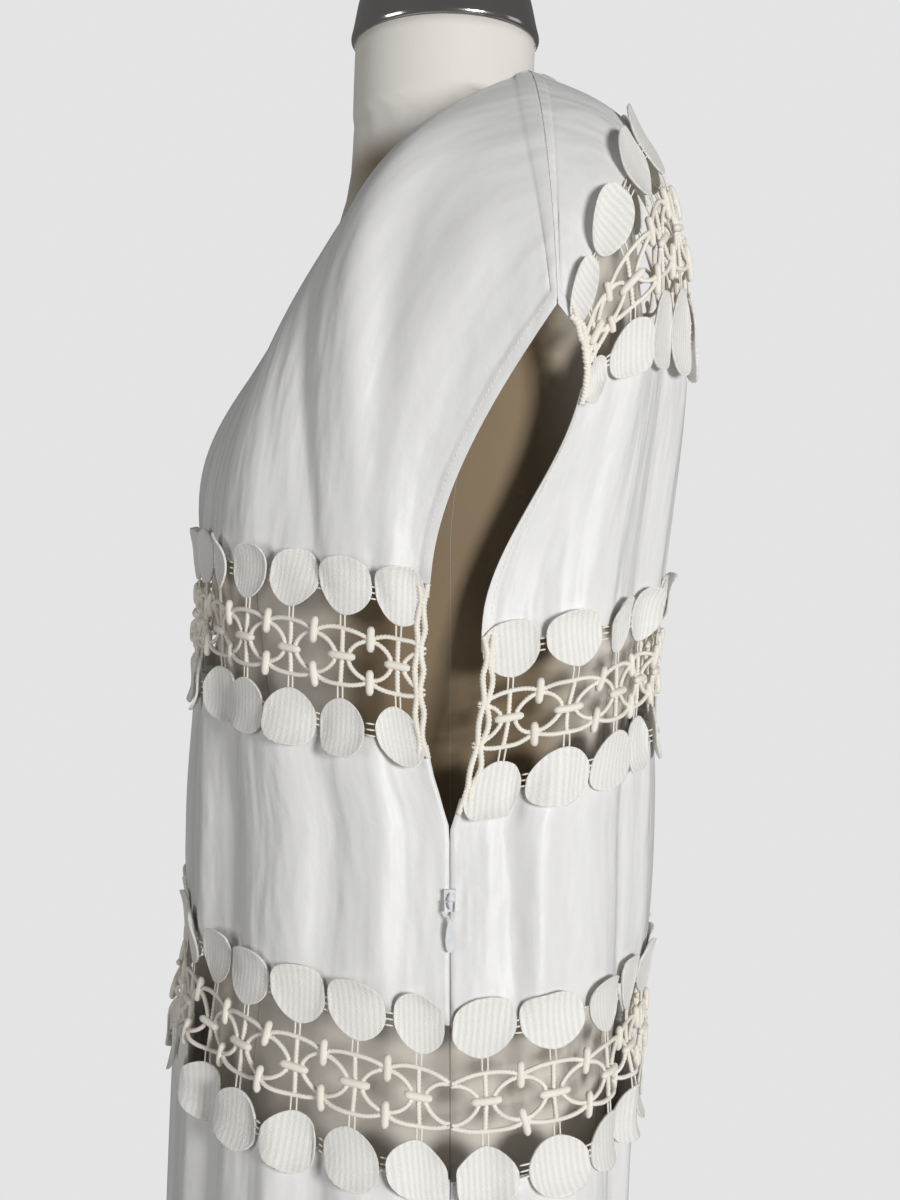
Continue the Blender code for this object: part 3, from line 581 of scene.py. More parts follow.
def node(made, kind, **inputs):
    """Adds a node to a material, with its settings and its sockets' values."""
    new = made.node_tree.nodes.new(kind)
    for key, value in inputs.items():
        if hasattr(new, key):
            setattr(new, key, value)
        else:
            new.inputs[key.replace("_", " ")].default_value = value
    return new


def link(made, start, end):
    made.node_tree.links.new(start, end)


def shader_of(made):
    return made.node_tree.nodes["Principled BSDF"]


def mixed(made, factor, first, second):
    """A colour between two colours, by a factor."""
    mix = node(made, "ShaderNodeMix", data_type="RGBA")
    link(made, factor, mix.inputs[0])
    mix.inputs[6].default_value = (*first, 1)
    mix.inputs[7].default_value = (*second, 1)
    return mix.outputs[2]


def mapped(made, source, scale):
    """Texture coordinates times a scale. The source is UV or Object."""
    places = node(made, "ShaderNodeTexCoord")
    mapping = node(made, "ShaderNodeMapping")
    mapping.inputs["Scale"].default_value = scale
    link(made, places.outputs[source], mapping.inputs["Vector"])
    return mapping.outputs["Vector"]


def noise(made, vector, scale, detail):
    new = node(made, "ShaderNodeTexNoise", Scale=scale, Detail=detail)
    link(made, vector, new.inputs["Vector"])
    return new.outputs["Fac"]


def bumped(made, height, strength, distance, before=None):
    """A bump from a height, on top of an earlier one."""
    bump = node(made, "ShaderNodeBump", Strength=strength, Distance=distance)
    link(made, height, bump.inputs["Height"])
    if before is not None:
        link(made, before, bump.inputs["Normal"])
    return bump.outputs["Normal"]


def cloth_material():
    """Soft pale woven cloth: a faint crosswise grain, slow changes of tone, and a silky sheen."""
    made = material("cloth", (0.78, 0.775, 0.77), 0.46, Sheen_Weight=0.35, Sheen_Roughness=0.4)
    shader = shader_of(made)
    threads = noise(made, mapped(made, "UV", (1.9, 0.16, 1)), 1.0, 3)
    slubs = noise(made, mapped(made, "UV", (0.09, 1.5, 1)), 1.0, 2)
    tone = noise(made, mapped(made, "UV", (0.02, 0.006, 1)), 1.0, 3)
    link(made, mixed(made, tone, (0.73, 0.725, 0.715), (0.82, 0.815, 0.80)), shader.inputs["Base Color"])
    creases = noise(made, mapped(made, "UV", (0.055, 0.013, 1)), 1.0, 2)
    crumple = noise(made, mapped(made, "UV", (0.13, 0.075, 1)), 1.0, 2)
    normal = bumped(made, creases, 0.5, 0.007)
    normal = bumped(made, crumple, 0.2, 0.002, normal)
    normal = bumped(made, threads, 0.16, 0.0003, normal)
    normal = bumped(made, slubs, 0.12, 0.0003, normal)
    link(made, normal, shader.inputs["Normal"])
    return made


def oval_material():
    """Satin stitch: the threads run with the ribs, and the dips between the ribs are painted a little darker
    as painted shade.
    """
    made = material("lace_ovals", (0.84, 0.82, 0.78), 0.6, Sheen_Weight=0.3)
    shader = shader_of(made)
    ribs = node(made, "ShaderNodeTexWave", wave_type="BANDS", bands_direction="X", Scale=1.0)
    ribs.inputs["Distortion"].default_value = 0.4
    ribs.inputs["Detail"].default_value = 1.0
    rib_scale = OVAL_RIBS * math.pi / WAVE_TURN
    link(made, mapped(made, "UV", (rib_scale, 0.5, 1)), ribs.inputs["Vector"])
    threads = noise(made, mapped(made, "UV", (7, 60, 1)), 1.0, 2)
    # Paler ribs and darker dips: the darker dips are painted shade in the grooves
    colour = mixed(made, ribs.outputs["Fac"], (0.80, 0.782, 0.74), (0.90, 0.885, 0.84))
    link(made, colour, shader.inputs["Base Color"])
    stitches = noise(made, mapped(made, "UV", (16, 26, 1)), 1.0, 1)
    normal = bumped(made, threads, 0.3, 0.0005)
    link(made, bumped(made, stitches, 0.5, 0.0009, normal), shader.inputs["Normal"])
    return made


def cord_material():
    made = material("lace_cords", (0.86, 0.81, 0.71), 0.75, Sheen_Weight=0.4)
    shader = shader_of(made)
    fuzz = noise(made, mapped(made, "Object", (900, 900, 900)), 1.0, 3)
    tone = noise(made, mapped(made, "Object", (45, 45, 45)), 1.0, 2)
    link(made, mixed(made, tone, (0.80, 0.745, 0.64), (0.93, 0.895, 0.81)), shader.inputs["Base Color"])
    link(made, bumped(made, fuzz, 0.3, 0.0003), shader.inputs["Normal"])
    return made


def stepped(made, value, start, full):
    """0 where a value is below start, 1 above full, and smooth between."""
    step = node(made, "ShaderNodeMapRange", interpolation_type="SMOOTHSTEP")
    step.inputs["From Min"].default_value = start
    step.inputs["From Max"].default_value = full
    link(made, value, step.inputs["Value"])
    return step.outputs["Result"]


def worked(made, operation, first, second=None):
    """A Math node on one or two values."""
    new = node(made, "ShaderNodeMath", operation=operation)
    link(made, first, new.inputs[0])
    if second is not None:
        link(made, second, new.inputs[1])
    return new.outputs[0]


def between(made, factor, first, second):
    """One colour output or the other, by a factor."""
    join = node(made, "ShaderNodeMix", data_type="RGBA")
    link(made, factor, join.inputs[0])
    link(made, first, join.inputs[6])
    link(made, second, join.inputs[7])
    return join.outputs[2]


def linen_material():
    """The form's linen cover, with its crossing threads: cream, and tan under the arms, where it is painted
    dark as painted shade inside the armholes.
    """
    made = material("form_cover", (0.60, 0.50, 0.37), 0.85, Sheen_Weight=0.15)
    shader = shader_of(made)
    upright = noise(made, mapped(made, "Object", (1500, 1500, 90)), 1.0, 2)
    level = noise(made, mapped(made, "Object", (90, 90, 1500)), 1.0, 2)
    tone = noise(made, mapped(made, "Object", (16, 16, 9)), 1.0, 4)
    neck = mixed(made, tone, (0.78, 0.74, 0.68), (0.88, 0.845, 0.79))
    cream = mixed(made, tone, (0.60, 0.56, 0.49), (0.70, 0.66, 0.59))
    # Tan under the arms, painted dark as the shade inside the armholes
    tan_with_painted_shade = mixed(made, tone, (0.21, 0.155, 0.09), (0.28, 0.21, 0.13))
    places = node(made, "ShaderNodeTexCoord")
    parts = node(made, "ShaderNodeSeparateXYZ")
    link(made, places.outputs["Object"], parts.inputs[0])
    # Mask of the painted armhole shade: near the form's sides and above the waist
    beside = stepped(made, worked(made, "ABSOLUTE", parts.outputs["Y"]), ARMHOLE_SHADE_HALF_Y, CREAM_Y)
    above = stepped(made, parts.outputs["Z"], ARMHOLE_SHADE_FOOT_Z, ARMHOLE_SHADE_FULL_Z)
    armhole_shade_mask = worked(made, "SUBTRACT", above, beside)
    body = between(made, armhole_shade_mask, cream, tan_with_painted_shade)
    top = stepped(made, parts.outputs["Z"], NECK_COVER_FOOT, NECK_COVER_TOP)
    link(made, between(made, top, body, neck), shader.inputs["Base Color"])
    normal = bumped(made, upright, 0.2, 0.0004)
    link(made, bumped(made, level, 0.2, 0.0004, normal), shader.inputs["Normal"])
    return made


def steel_material():
    """Polished steel, faintly turned round."""
    made = material("polished_steel", (0.60, 0.58, 0.56), 0.14, Metallic=1.0)
    shader = shader_of(made)
    rings = noise(made, mapped(made, "Object", (3, 3, 900)), 1.0, 2)
    smudge = noise(made, mapped(made, "Object", (30, 30, 14)), 1.0, 3)
    link(made, mixed(made, smudge, (0.54, 0.52, 0.50), (0.68, 0.66, 0.64)), shader.inputs["Base Color"])
    link(made, bumped(made, rings, 0.06, 0.0002), shader.inputs["Normal"])
    return made


def enamel_material():
    made = material("white_enamel", (0.80, 0.80, 0.80), 0.28)
    shader = shader_of(made)
    wear = noise(made, mapped(made, "Object", (240, 240, 240)), 1.0, 4)
    link(made, mixed(made, wear, (0.62, 0.63, 0.65), (0.86, 0.86, 0.86)), shader.inputs["Base Color"])
    link(made, bumped(made, wear, 0.05, 0.0002), shader.inputs["Normal"])
    return made


def mesh_object(name, points, faces, materials, uv=None, face_materials=None):
    """A smooth mesh object from arrays, with an optional UV place for each point."""
    mesh = bpy.data.meshes.new(name)
    mesh.from_pydata(np.asarray(points).tolist(), [], faces)
    for finish in materials:
        mesh.materials.append(finish)
    if face_materials is not None:
        mesh.polygons.foreach_set("material_index", np.asarray(face_materials, np.int32))
    if uv is not None:
        corners = np.zeros(len(mesh.loops), np.int32)
        mesh.loops.foreach_get("vertex_index", corners)
        layer = mesh.uv_layers.new(name="flat")
        layer.data.foreach_set("uv", np.asarray(uv)[corners].ravel().astype(np.float32))
    mesh.update()
    mesh.shade_smooth()
    made = bpy.data.objects.new(name, mesh)
    bpy.context.scene.collection.objects.link(made)
    return made


def grid_faces(columns, rows, flip, closed=False):
    """Faces of a grid whose points run down each column in turn."""
    faces = []
    for i in range(columns if closed else columns - 1):
        j = (i + 1) % columns
        for k in range(rows - 1):
            face = (i * rows + k, j * rows + k, j * rows + k + 1, i * rows + k + 1)
            faces.append(face[::-1] if flip else face)
    return faces


def finish_edge_raise(distance):
    """How far a narrow turned hem stands proud, at distances from the edge."""
    return HEM_RAISE * (1 - fade((distance - HEM_FOLD) / HEM_SLOPE))


def panel_piece(name, finish):
    """One cut panel of cloth, with its folds and turned hems."""
    panel = "front" if name.startswith("front") else "back"
    arc = half_arc(panel)
    upper = name.endswith(("yoke", "panel"))
    places = spaced(2 * arc, COLUMN_STEP, upper, upper)
    half_seam = 0.5 * SEAM_GAP / arc
    across = np.clip(places / arc - 1, -1 + half_seam, 1 - half_seam)
    start, end = panel_ends(name, np.array([0.3]))
    spread, _ = cloth(panel, np.full(40, 0.3), np.linspace(start[0], end[0], 40), np.zeros(40))
    tall = np.linalg.norm(np.diff(spread, axis=0), axis=1).sum()
    fine_top = name.endswith("yoke")
    fine_foot = name.endswith("skirt")
    drops = spaced(tall, ROW_STEP.get(name, LONG_ROW_STEP), fine_top, fine_foot)
    share = drops / tall
    u, share = np.meshgrid(across, share, indexing="ij")
    first, last = panel_ends(name, u.ravel())
    down = first + (last - first) * share.ravel()
    base, _ = cloth(panel, u.ravel(), down, np.zeros(u.size))
    edge = arc * (1 - np.abs(u.ravel()))
    open_edge = fade((base[:, 2] - ARMHOLE_FOOT_Z) / (8 * MM))
    lift = finish_edge_raise(edge) * open_edge
    if fine_top:
        lift = np.maximum(lift, finish_edge_raise(share.ravel() * tall))
    if fine_foot:
        lift = np.maximum(lift, finish_edge_raise((1 - share.ravel()) * tall))
    points, _ = cloth(panel, u.ravel(), down, lift)
    uv = np.stack([u.ravel() * arc / MM, share.ravel() * tall / MM], -1)
    faces = grid_faces(len(across), len(drops), panel == "front")
    made = mesh_object(name + "_cloth", points, faces, [finish], uv)
    wall = made.modifiers.new("Wall", "SOLIDIFY")
    wall.thickness = WALL
    wall.offset = 1
    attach(made, "root")
    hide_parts(name)


def curve_through(points):
    """A smooth curve through two-number places, as a function of how far along it is."""
    points = np.array(points, float)
    padded = np.vstack([2 * points[0] - points[1], points, 2 * points[-1] - points[-2]])

    def at(share):
        place = np.clip(share, 0, 1) * (len(points) - 1)
        i = np.minimum(place.astype(int), len(points) - 2)
        t = (place - i)[:, None]
        return cubic(padded[i], padded[i + 1], padded[i + 2], padded[i + 3], t)

    return at


def band_size(panel, band):
    """The width and height of a band laid flat."""
    across = np.linspace(-1, 1, 200)
    points, _ = cloth(panel, across, band_down(band, across, np.zeros(200)), np.zeros(200))
    heights = np.linspace(-BAND_HALF, BAND_HALF, 30) / MM
    tall = 0
    for u in BAND_MEASURED_AT:
        here = np.full(30, u)
        line, _ = cloth(panel, here, band_down(band, here, heights), np.zeros(30))
        tall += np.linalg.norm(np.diff(line, axis=0), axis=1).sum() / len(BAND_MEASURED_AT)
    return float(np.linalg.norm(np.diff(points, axis=0), axis=1).sum()), float(tall)


class Strands:
    """Collects cords that lie on a panel of cloth and turns them into one mesh."""

    def __init__(self, panel, band):
        self.panel = panel
        self.band = band
        self.routes = []
        self.flat_area = 0
        wide, tall = band_size(panel, band)
        self.scale = (wide / (2 * PANELS[panel]["repeats"]), tall / (2 * BAND_HALF) * MM)

    def add(self, route, lift, radius, twist, sides, bulge=0.0):
        """A route in half repeats from the middle of the panel and millimetres up."""
        at = curve_through(route)
        coarse = at(np.linspace(0, 1, 12)) * self.scale
        long = np.linalg.norm(np.diff(coarse, axis=0), axis=1).sum()
        self.flat_area += long * 2 * radius
        step = CORD_STEP if twist else 1.6 * MM
        count = max(4, int(long / step) + 1)
        places = at(np.linspace(0, 1, count))
        ends = np.linspace(0, 1, count)
        lifts = lift + bulge * np.sin(math.pi * ends)
        self.routes.append((places, lifts, radius, twist, sides))

    def mesh(self):
        repeats = PANELS[self.panel]["repeats"]
        places = np.vstack([route[0] for route in self.routes])
        lifts = np.concatenate([np.broadcast_to(route[1], len(route[0])) for route in self.routes])
        limit = 1 - 1.0 * MM / half_arc(self.panel)
        across = np.clip(places[:, 0] / repeats, -limit, limit)
        down = band_down(self.band, across, places[:, 1])
        points, normals = cloth(self.panel, across, down, lifts)
        meshes = []
        first = 0
        for route, _, radius, twist, sides in self.routes:
            count = len(route)
            part = slice(first, first + count)
            meshes.append(tube(points[part], normals[part], radius, twist, sides))
            first += count
        return joined_meshes(meshes)


def tube(points, normals, radius, twist, sides):
    """A cord through points as (points, faces). A twisted cord shows its two strands."""
    tangents = np.gradient(points, axis=0)
    tangents /= np.linalg.norm(tangents, axis=1)[:, None]
    sideways = np.cross(tangents, normals)
    sideways /= np.linalg.norm(sideways, axis=1)[:, None]
    upward = np.cross(sideways, tangents)
    steps = np.linalg.norm(np.diff(points, axis=0), axis=1)
    along = np.concatenate([[0], np.cumsum(steps)])
    angle = np.linspace(0, 2 * math.pi, sides, endpoint=False)
    reach = np.full((len(points), sides), radius)
    if twist:
        phase = 2 * math.pi * along / TWIST_PITCH
        reach *= 1 + TWIST_DEPTH * np.cos(2 * (angle[None, :] - phase[:, None]))
    else:
        reach[0] *= 0.55
        reach[-1] *= 0.55
    rings = (
        points[:, None, :]
        + sideways[:, None, :] * (reach * np.cos(angle))[..., None]
        + upward[:, None, :] * (reach * np.sin(angle))[..., None]
    )
    count = len(points)
    faces = []
    for k in range(count - 1):
        for i in range(sides):
            j = (i + 1) % sides
            faces.append((k * sides + i, k * sides + j, (k + 1) * sides + j, (k + 1) * sides + i))
    faces.append(tuple(range(sides))[::-1])
    faces.append(tuple(range((count - 1) * sides, count * sides)))
    return rings.reshape(-1, 3), faces


def joined_meshes(meshes):
    """Several (points, faces) as one."""
    points = np.vstack([mesh[0] for mesh in meshes])
    faces = []
    first = 0
    for part, part_faces in meshes:
        faces += [tuple(first + n for n in face) for face in part_faces]
        first += len(part)
    return points, faces


def unevenness(number):
    """A value from -1 to 1 that differs from one oval to the next."""
    return math.sin(number * 2.399 + 0.7 * math.sin(number * 1.31))


def oval_grid():
    """Places of one oval's grid as (side, rise), from -1 to 1, and the faces of its two layers."""
    columns = OVAL_RIBS * COLUMNS_PER_RIB + 1
    rows = len(OVAL_ROWS)
    even = np.linspace(-1, 1, columns)
    side = OVAL_REACH * (0.6 * even + 0.4 * np.sin(even * math.pi / 2))
    side, share = np.meshgrid(side, np.array(OVAL_ROWS), indexing="ij")
    outer = (1 - np.abs(side) ** OVAL_OUTER_POWER) ** (1 / OVAL_OUTER_POWER)
    inner = (1 - np.abs(side) ** OVAL_INNER_POWER) ** (1 / OVAL_INNER_POWER)
    rise = share * np.where(share > 0, outer, inner)
    over = grid_faces(columns, rows, False)
    layer = columns * rows
    faces = over + [tuple(layer + n for n in face)[::-1] for face in over]
    rim = list(range(rows - 1))
    rim += [i * rows + rows - 1 for i in range(columns - 1)]
    rim += [(columns - 1) * rows + k for k in range(rows - 1, 0, -1)]
    rim += [i * rows for i in range(columns - 1, 0, -1)]
    for here, after in zip(rim, rim[1:] + rim[:1]):
        faces.append((here, after, layer + after, layer + here))
    return side.ravel(), rise.ravel(), faces


def oval_pieces(panel, band):
    """All ovals of a band as (points, faces, uv): ribbed, with a raised rim and lifted outer edges."""
    repeats = PANELS[panel]["repeats"]
    side, rise, single = oval_grid()
    distance = np.hypot(side, rise)
    ribs = RIB_HEIGHT * (0.5 - 0.5 * np.cos(math.pi * OVAL_RIBS * (side / OVAL_REACH + 1)))
    raised = np.maximum(ribs * fade((0.95 - distance) / 0.1), RIM_HEIGHT * fade((distance - 0.86) / 0.08))
    limit = 1 - 0.6 * MM / half_arc(panel)
    points, all_faces, uvs = [], [], []
    for repeat in range(repeats):
        for end in (1, -1):
            number = repeat * 2 + (end > 0) + (7 if panel == "back" else 0) + 31 * (band == "hip")
            tilt = unevenness(number)
            curl = (4.0 if band == "yoke" else 2.4) + 1.9 * unevenness(number + 50)
            lean = 0.10 * unevenness(number + 90)
            width = OVAL_WIDTH * (0.97 + 0.06 * unevenness(number + 20))
            u = 2 * repeat + 1 - repeats + width * side + lean * rise
            v = end * (OVAL_MIDDLE + 0.5 * unevenness(number + 70) + OVAL_HEIGHT * rise)
            outer = np.maximum(0, rise)
            rises = curl * outer**2 * distance + OVAL_TILT * tilt * side * distance
            lift = LACE_LIFT + MM * (rises + OVAL_DISH * distance**2)
            lift = np.maximum(lift, LACE_LIFT - 0.2 * MM)
            across = np.clip(u / repeats, -limit, limit)
            down = band_down(band, across, v)
            over, _ = cloth(panel, across, down, lift + OVAL_THICK + raised)
            below, _ = cloth(panel, across, down, lift)
            first = sum(len(part) for part in points)
            points += [over, below]
            flip = (end > 0) != (panel == "front")
            for face in single:
                face = tuple(first + n for n in face)
                all_faces.append(face[::-1] if flip else face)
            uv = np.stack([side, rise * end], -1)
            uvs += [uv, uv]
    return np.vstack(points), all_faces, np.vstack(uvs)


def lace_strands(panel, band):
    """The cords, threads, ties and knots of a band as (points, faces), and their area laid flat."""
    strands = Strands(panel, band)
    repeats = PANELS[panel]["repeats"]
    cord_lift = LACE_LIFT + 0.6 * MM
    for repeat in range(repeats):
        middle = 2 * repeat + 1 - repeats
        sway = 0.04 * unevenness(repeat + 11)
        for end in (1, -1):
            arch = [(middle + u, end * v) for u, v in ARCH]
            strands.add(arch, cord_lift + 0.3 * MM, CORD_RADIUS, True, CORD_SIDES)
            for side in (-1, 1):
                thread = [(middle + side * THREAD_SIDE, end * v) for v in (13.0, 17.5, 22.5)]
                strands.add(thread, cord_lift, THREAD_RADIUS, False, 5)
            if repeat < repeats - 1:
                slant = TIE_LEAN * unevenness(repeat * 2 + end + 40)
                heights = (TIE[0], sum(TIE) / 2, TIE[1])
                tie = [(middle + 1 + slant * n, end * v) for n, v in zip((-1, 0, 1), heights)]
                strands.add(tie, cord_lift + 0.7 * MM, WRAP_RADIUS, False, CORD_SIDES, 0.5 * MM)
                for v in (31.5, 34.5, 37.5):
                    join = [(middle + 1 + u, end * v) for u in (-0.14, 0.0, 0.14)]
                    strands.add(join, LACE_LIFT + 0.5 * MM, THREAD_RADIUS, False, 5)
        for side in (-1, 1):
            half = [(side * u, v) for u, v in ARC]
            arc = half + [(u, -v) for u, v in half[-2::-1]]
            arc = [(middle + sway * (1 - abs(v) / 10) + u, v) for u, v in arc]
            strands.add(arc, cord_lift, CORD_RADIUS, True, CORD_SIDES)
        stem = [(middle + sway * (1 - abs(v) / STEM_TOP), v) for v in (STEM_TOP, 6.0, 0.0, -6.0, -STEM_TOP)]
        strands.add(stem, cord_lift - 0.3 * MM, CORD_RADIUS * 1.05, True, CORD_SIDES)
        knot = [(middle + sway + u, 0.6 * unevenness(repeat)) for u in (-KNOT_HALF, 0.0, KNOT_HALF)]
        strands.add(knot, cord_lift + 0.9 * MM, WRAP_RADIUS, False, CORD_SIDES, 0.6 * MM)
    if band != "hip":
        for side in (-1, 1):
            for inset, sway in ((0.13, 0.05), (0.34, -0.05)):
                edge = side * (repeats - inset)
                line = [(edge + side * sway * (-1) ** n, v) for n, v in enumerate(range(-44, 45, 11))]
                strands.add(line, cord_lift + 0.5 * MM, EDGE_CORD_RADIUS, True, CORD_SIDES)
    return strands.mesh(), strands.flat_area


def band_piece(name, panel, band, ovals_finish, cords_finish):
    """One openwork band: ribbed ovals along both edges and a lattice of twisted cords."""
    oval_points, oval_faces, oval_uv = oval_pieces(panel, band)
    (cord_points, cord_faces), cord_area = lace_strands(panel, band)
    first = len(oval_points)
    faces = oval_faces + [tuple(first + n for n in face) for face in cord_faces]
    points = np.vstack([oval_points, cord_points])
    uv = np.vstack([oval_uv, np.zeros((len(cord_points), 2))])
    kinds = [0] * len(oval_faces) + [1] * len(cord_faces)
    made = mesh_object(name + "_openwork", points, faces, [ovals_finish, cords_finish], uv, kinds)
    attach(made, "root")
    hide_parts(name)
    wide, tall = band_size(panel, band)


def stitch_row(name, panel, places, finish):
    """A row of small stitches on the cloth. Places are (across, down) along the row."""
    across, down = (np.array(column) for column in zip(*places))
    points, normals = cloth(panel, across, down, np.full(len(across), WALL + HEM_RAISE))
    steps = np.linalg.norm(np.diff(points, axis=0), axis=1)
    along = np.concatenate([[0], np.cumsum(steps)])
    meshes = []
    for start in np.arange(STITCH_PITCH, along[-1] - STITCH_PITCH, STITCH_PITCH):
        at = start + np.array([0, 0.5, 1]) * STITCH_LENGTH
        spots = np.stack([np.interp(at, along, points[:, c]) for c in range(3)], -1)
        ups = np.stack([np.interp(at, along, normals[:, c]) for c in range(3)], -1)
        meshes.append(tube(spots, ups, STITCH_RADIUS, False, 5))
    made = mesh_object(name, *joined_meshes(meshes), [finish])
    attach(made, "root")
    return made


def shoulder_seams(finish):
    """A narrow sewn welt along each shoulder seam, from the neckline to the armhole."""
    share = PANELS["front"]["neck_columns"] / PANELS["front"]["repeats"]
    for hand, side in (("right", -1), ("left", 1)):
        across = side * np.linspace(share + 0.005, 0.995, 90)
        back_share = PANELS["back"]["neck_columns"] / PANELS["back"]["repeats"]
        behind = side * (back_share + (np.abs(across) - share) * (1 - back_share) / (1 - share))
        zero = np.zeros(len(across))
        front, front_out = cloth("front", across, zero, np.full(len(across), WALL * 0.7))
        back, back_out = cloth("back", behind, zero, np.full(len(across), WALL * 0.7))
        points, faces = tube((front + back) / 2, front_out + back_out, WELT_RADIUS, False, 8)
        made = mesh_object(f"shoulder_seam_{hand}", points, faces, [finish])
        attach(made, "root")


def armhole_stitches(finish):
    """Stitching along the turned hems of both armholes, front and back."""
    below_band = float(yoke_band_edges(np.array([1.0]))[1][0]) + 0.02
    for panel, first in (("front", 0.03), ("back", below_band)):
        inset = 1 - 4.4 * MM / half_arc(panel)
        for side in (-1, 1):
            places = [(side * inset, down) for down in np.linspace(first, 0.99, 60)]
            hand = "left" if side > 0 else "right"
            stitch_row(f"armhole_stitches_{panel}_{hand}", panel, places, finish)


def hem_stitches(finish):
    for panel in PANELS:
        places = [(across, 4.985) for across in np.linspace(-0.995, 0.995, 260)]
        stitch_row(f"hem_stitches_{panel}", panel, places, finish)


def dress_form(finish, seam_finish):
    """The form's cover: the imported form's own level sections, drawn through smoothly."""
    corners = np.array([vertex.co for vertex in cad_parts["form_body"].data.vertices])
    rings = {}
    for corner in corners:
        rings.setdefault(round(corner[2] * 2000), {})[tuple(np.round(corner, 5))] = corner
    heights = sorted(rings, reverse=True)
    sides = 32
    table = []
    for height in heights:
        ring = np.array(list(rings[height].values()))
        if len(ring) < sides:
            continue
        side_y = (ring[:, 1].max() + ring[:, 1].min()) / 2
        order = np.argsort(np.arctan2(ring[:, 0], -(ring[:, 1] - side_y)))
        table.append(ring[order][:sides])
    table = np.array(table)
    start = np.array([np.argmin(np.abs(ring[:, 0]) + (ring[:, 1] > ring[:, 1].mean()) * 9) for ring in table])
    table = np.array([np.roll(ring, -n, axis=0) for ring, n in zip(table, start)])
    round_way = smoothed_rings(table, 4)
    fine = smoothed_columns(round_way, 4)
    outward = fine[..., :2] / np.linalg.norm(fine[..., :2], axis=-1)[..., None]
    fine[..., :2] -= outward * neck_corner(fine[..., 2:]) * COVER_INSET  # clear of the yokes there
    rows, columns = fine.shape[:2]
    points = fine.transpose(1, 0, 2).reshape(-1, 3)
    faces = grid_faces(columns, rows, True, True)
    top = tuple(i * rows for i in range(columns))
    foot = tuple(i * rows + rows - 1 for i in range(columns))
    faces += [top, foot[::-1]]
    made = mesh_object("form_cover", points, faces, [finish])
    for end in (len(made.data.polygons) - 1, len(made.data.polygons) - 2):
        made.data.polygons[end].use_smooth = False
    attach(made, "root")
    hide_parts("form_body")
    seams = []
    for turn in (0.0, 0.13, 0.25, 0.37, 0.5, 0.63, 0.75, 0.87):
        column = round(turn * columns) % columns
        line = fine[(fine[:, column, 2] < SEAM_TOP_Z) & (fine[:, column, 2] > SEAM_FOOT_Z), column]
        out = line * (1, 1, 0)
        out /= np.linalg.norm(out, axis=1)[:, None]
        seams.append(tube(line - out * 0.15 * MM, out, 0.35 * MM, False, 5))
    seam = mesh_object("form_seams", *joined_meshes(seams), [seam_finish])
    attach(seam, "root")


def neck_corner(z):
    """1 at the heights where the form's neck turns into its shoulders, and 0 away from them."""
    return fade((z - NECK_CORNER_Z) / NECK_CORNER_FADE) * fade((NECK_FOOT_Z - z) / NECK_FOOT_FADE)


def smoothed_rings(table, times):
    """More points round each level section, on a closed curve, but straight at the neck's corner."""
    before, after, after2 = (np.roll(table, n, axis=1) for n in (1, -1, -2))
    parts = []
    for k in range(times):
        t = k / times
        corner = neck_corner(table[..., 2:])
        straight = table + (after - table) * t
        parts.append(cubic(before, table, after, after2, t) * (1 - corner) + straight * corner)
    return np.stack(parts, 2).reshape(len(table), -1, 3)


def smoothed_columns(table, times):
    """More level sections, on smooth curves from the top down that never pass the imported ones."""
    padded = np.concatenate([table[:1], table, table[-1:]])
    parts = []
    for i in range(len(table) - 1):
        for k in range(times):
            low = np.minimum(padded[i + 1], padded[i + 2])
            high = np.maximum(padded[i + 1], padded[i + 2])
            curved = cubic(padded[i], padded[i + 1], padded[i + 2], padded[i + 3], k / times)
            straight = padded[i + 1] + (padded[i + 2] - padded[i + 1]) * k / times
            turn = fade((padded[i + 1][:, 2:] - NECK_CORNER_Z) / NECK_CORNER_FADE)
            parts.append(np.clip(curved, low, high) * (1 - turn) + straight * turn)
    parts.append(table[-1])
    return np.array(parts)


def cubic(a, b, c, d, t):
    """A place between b and c on a smooth curve through four."""
    return 0.5 * (2 * b + (c - a) * t + (2 * a - 5 * b + 4 * c - d) * t**2 + (3 * b - a - 3 * c + d) * t**3)


def turned(name, profile, middle, widths, steps, finish, node_name):
    """A turned piece round an upright axis, from its top down its outer side."""
    angle = np.linspace(0, 2 * math.pi, steps, endpoint=False)
    points = []
    for a in angle:
        for radius, z in profile:
            x = middle[0] + widths[0] * radius * math.sin(a)
            y = middle[1] - widths[1] * radius * math.cos(a)
            points.append((x, y, z))
    rows = len(profile)
    faces = grid_faces(steps, rows, True, True)
    faces.append(tuple(i * rows for i in range(steps)))
    faces.append(tuple(i * rows + rows - 1 for i in range(steps))[::-1])
    made = mesh_object(name, points, faces, [finish])
    made.data.polygons[len(faces) - 1].use_smooth = False
    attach(made, "root")
    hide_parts(node_name)
    return made


def rounded(corners, radius, steps):
    """An outline of (radius, z) corners with its inner corners rounded."""
    result = [corners[0]]
    for before, corner, after in zip(corners, corners[1:], corners[2:]):
        before, corner, after = (np.array(place) for place in (before, corner, after))
        back, ahead = before - corner, after - corner
        reach = min(radius, 0.45 * np.linalg.norm(back), 0.45 * np.linalg.norm(ahead))
        start = corner + back / np.linalg.norm(back) * reach
        end = corner + ahead / np.linalg.norm(ahead) * reach
        for k in range(steps + 1):
            t = k / steps
            result.append(tuple(start * (1 - t) ** 2 + corner * 2 * t * (1 - t) + end * t * t))
    result.append(corners[-1])
    return result


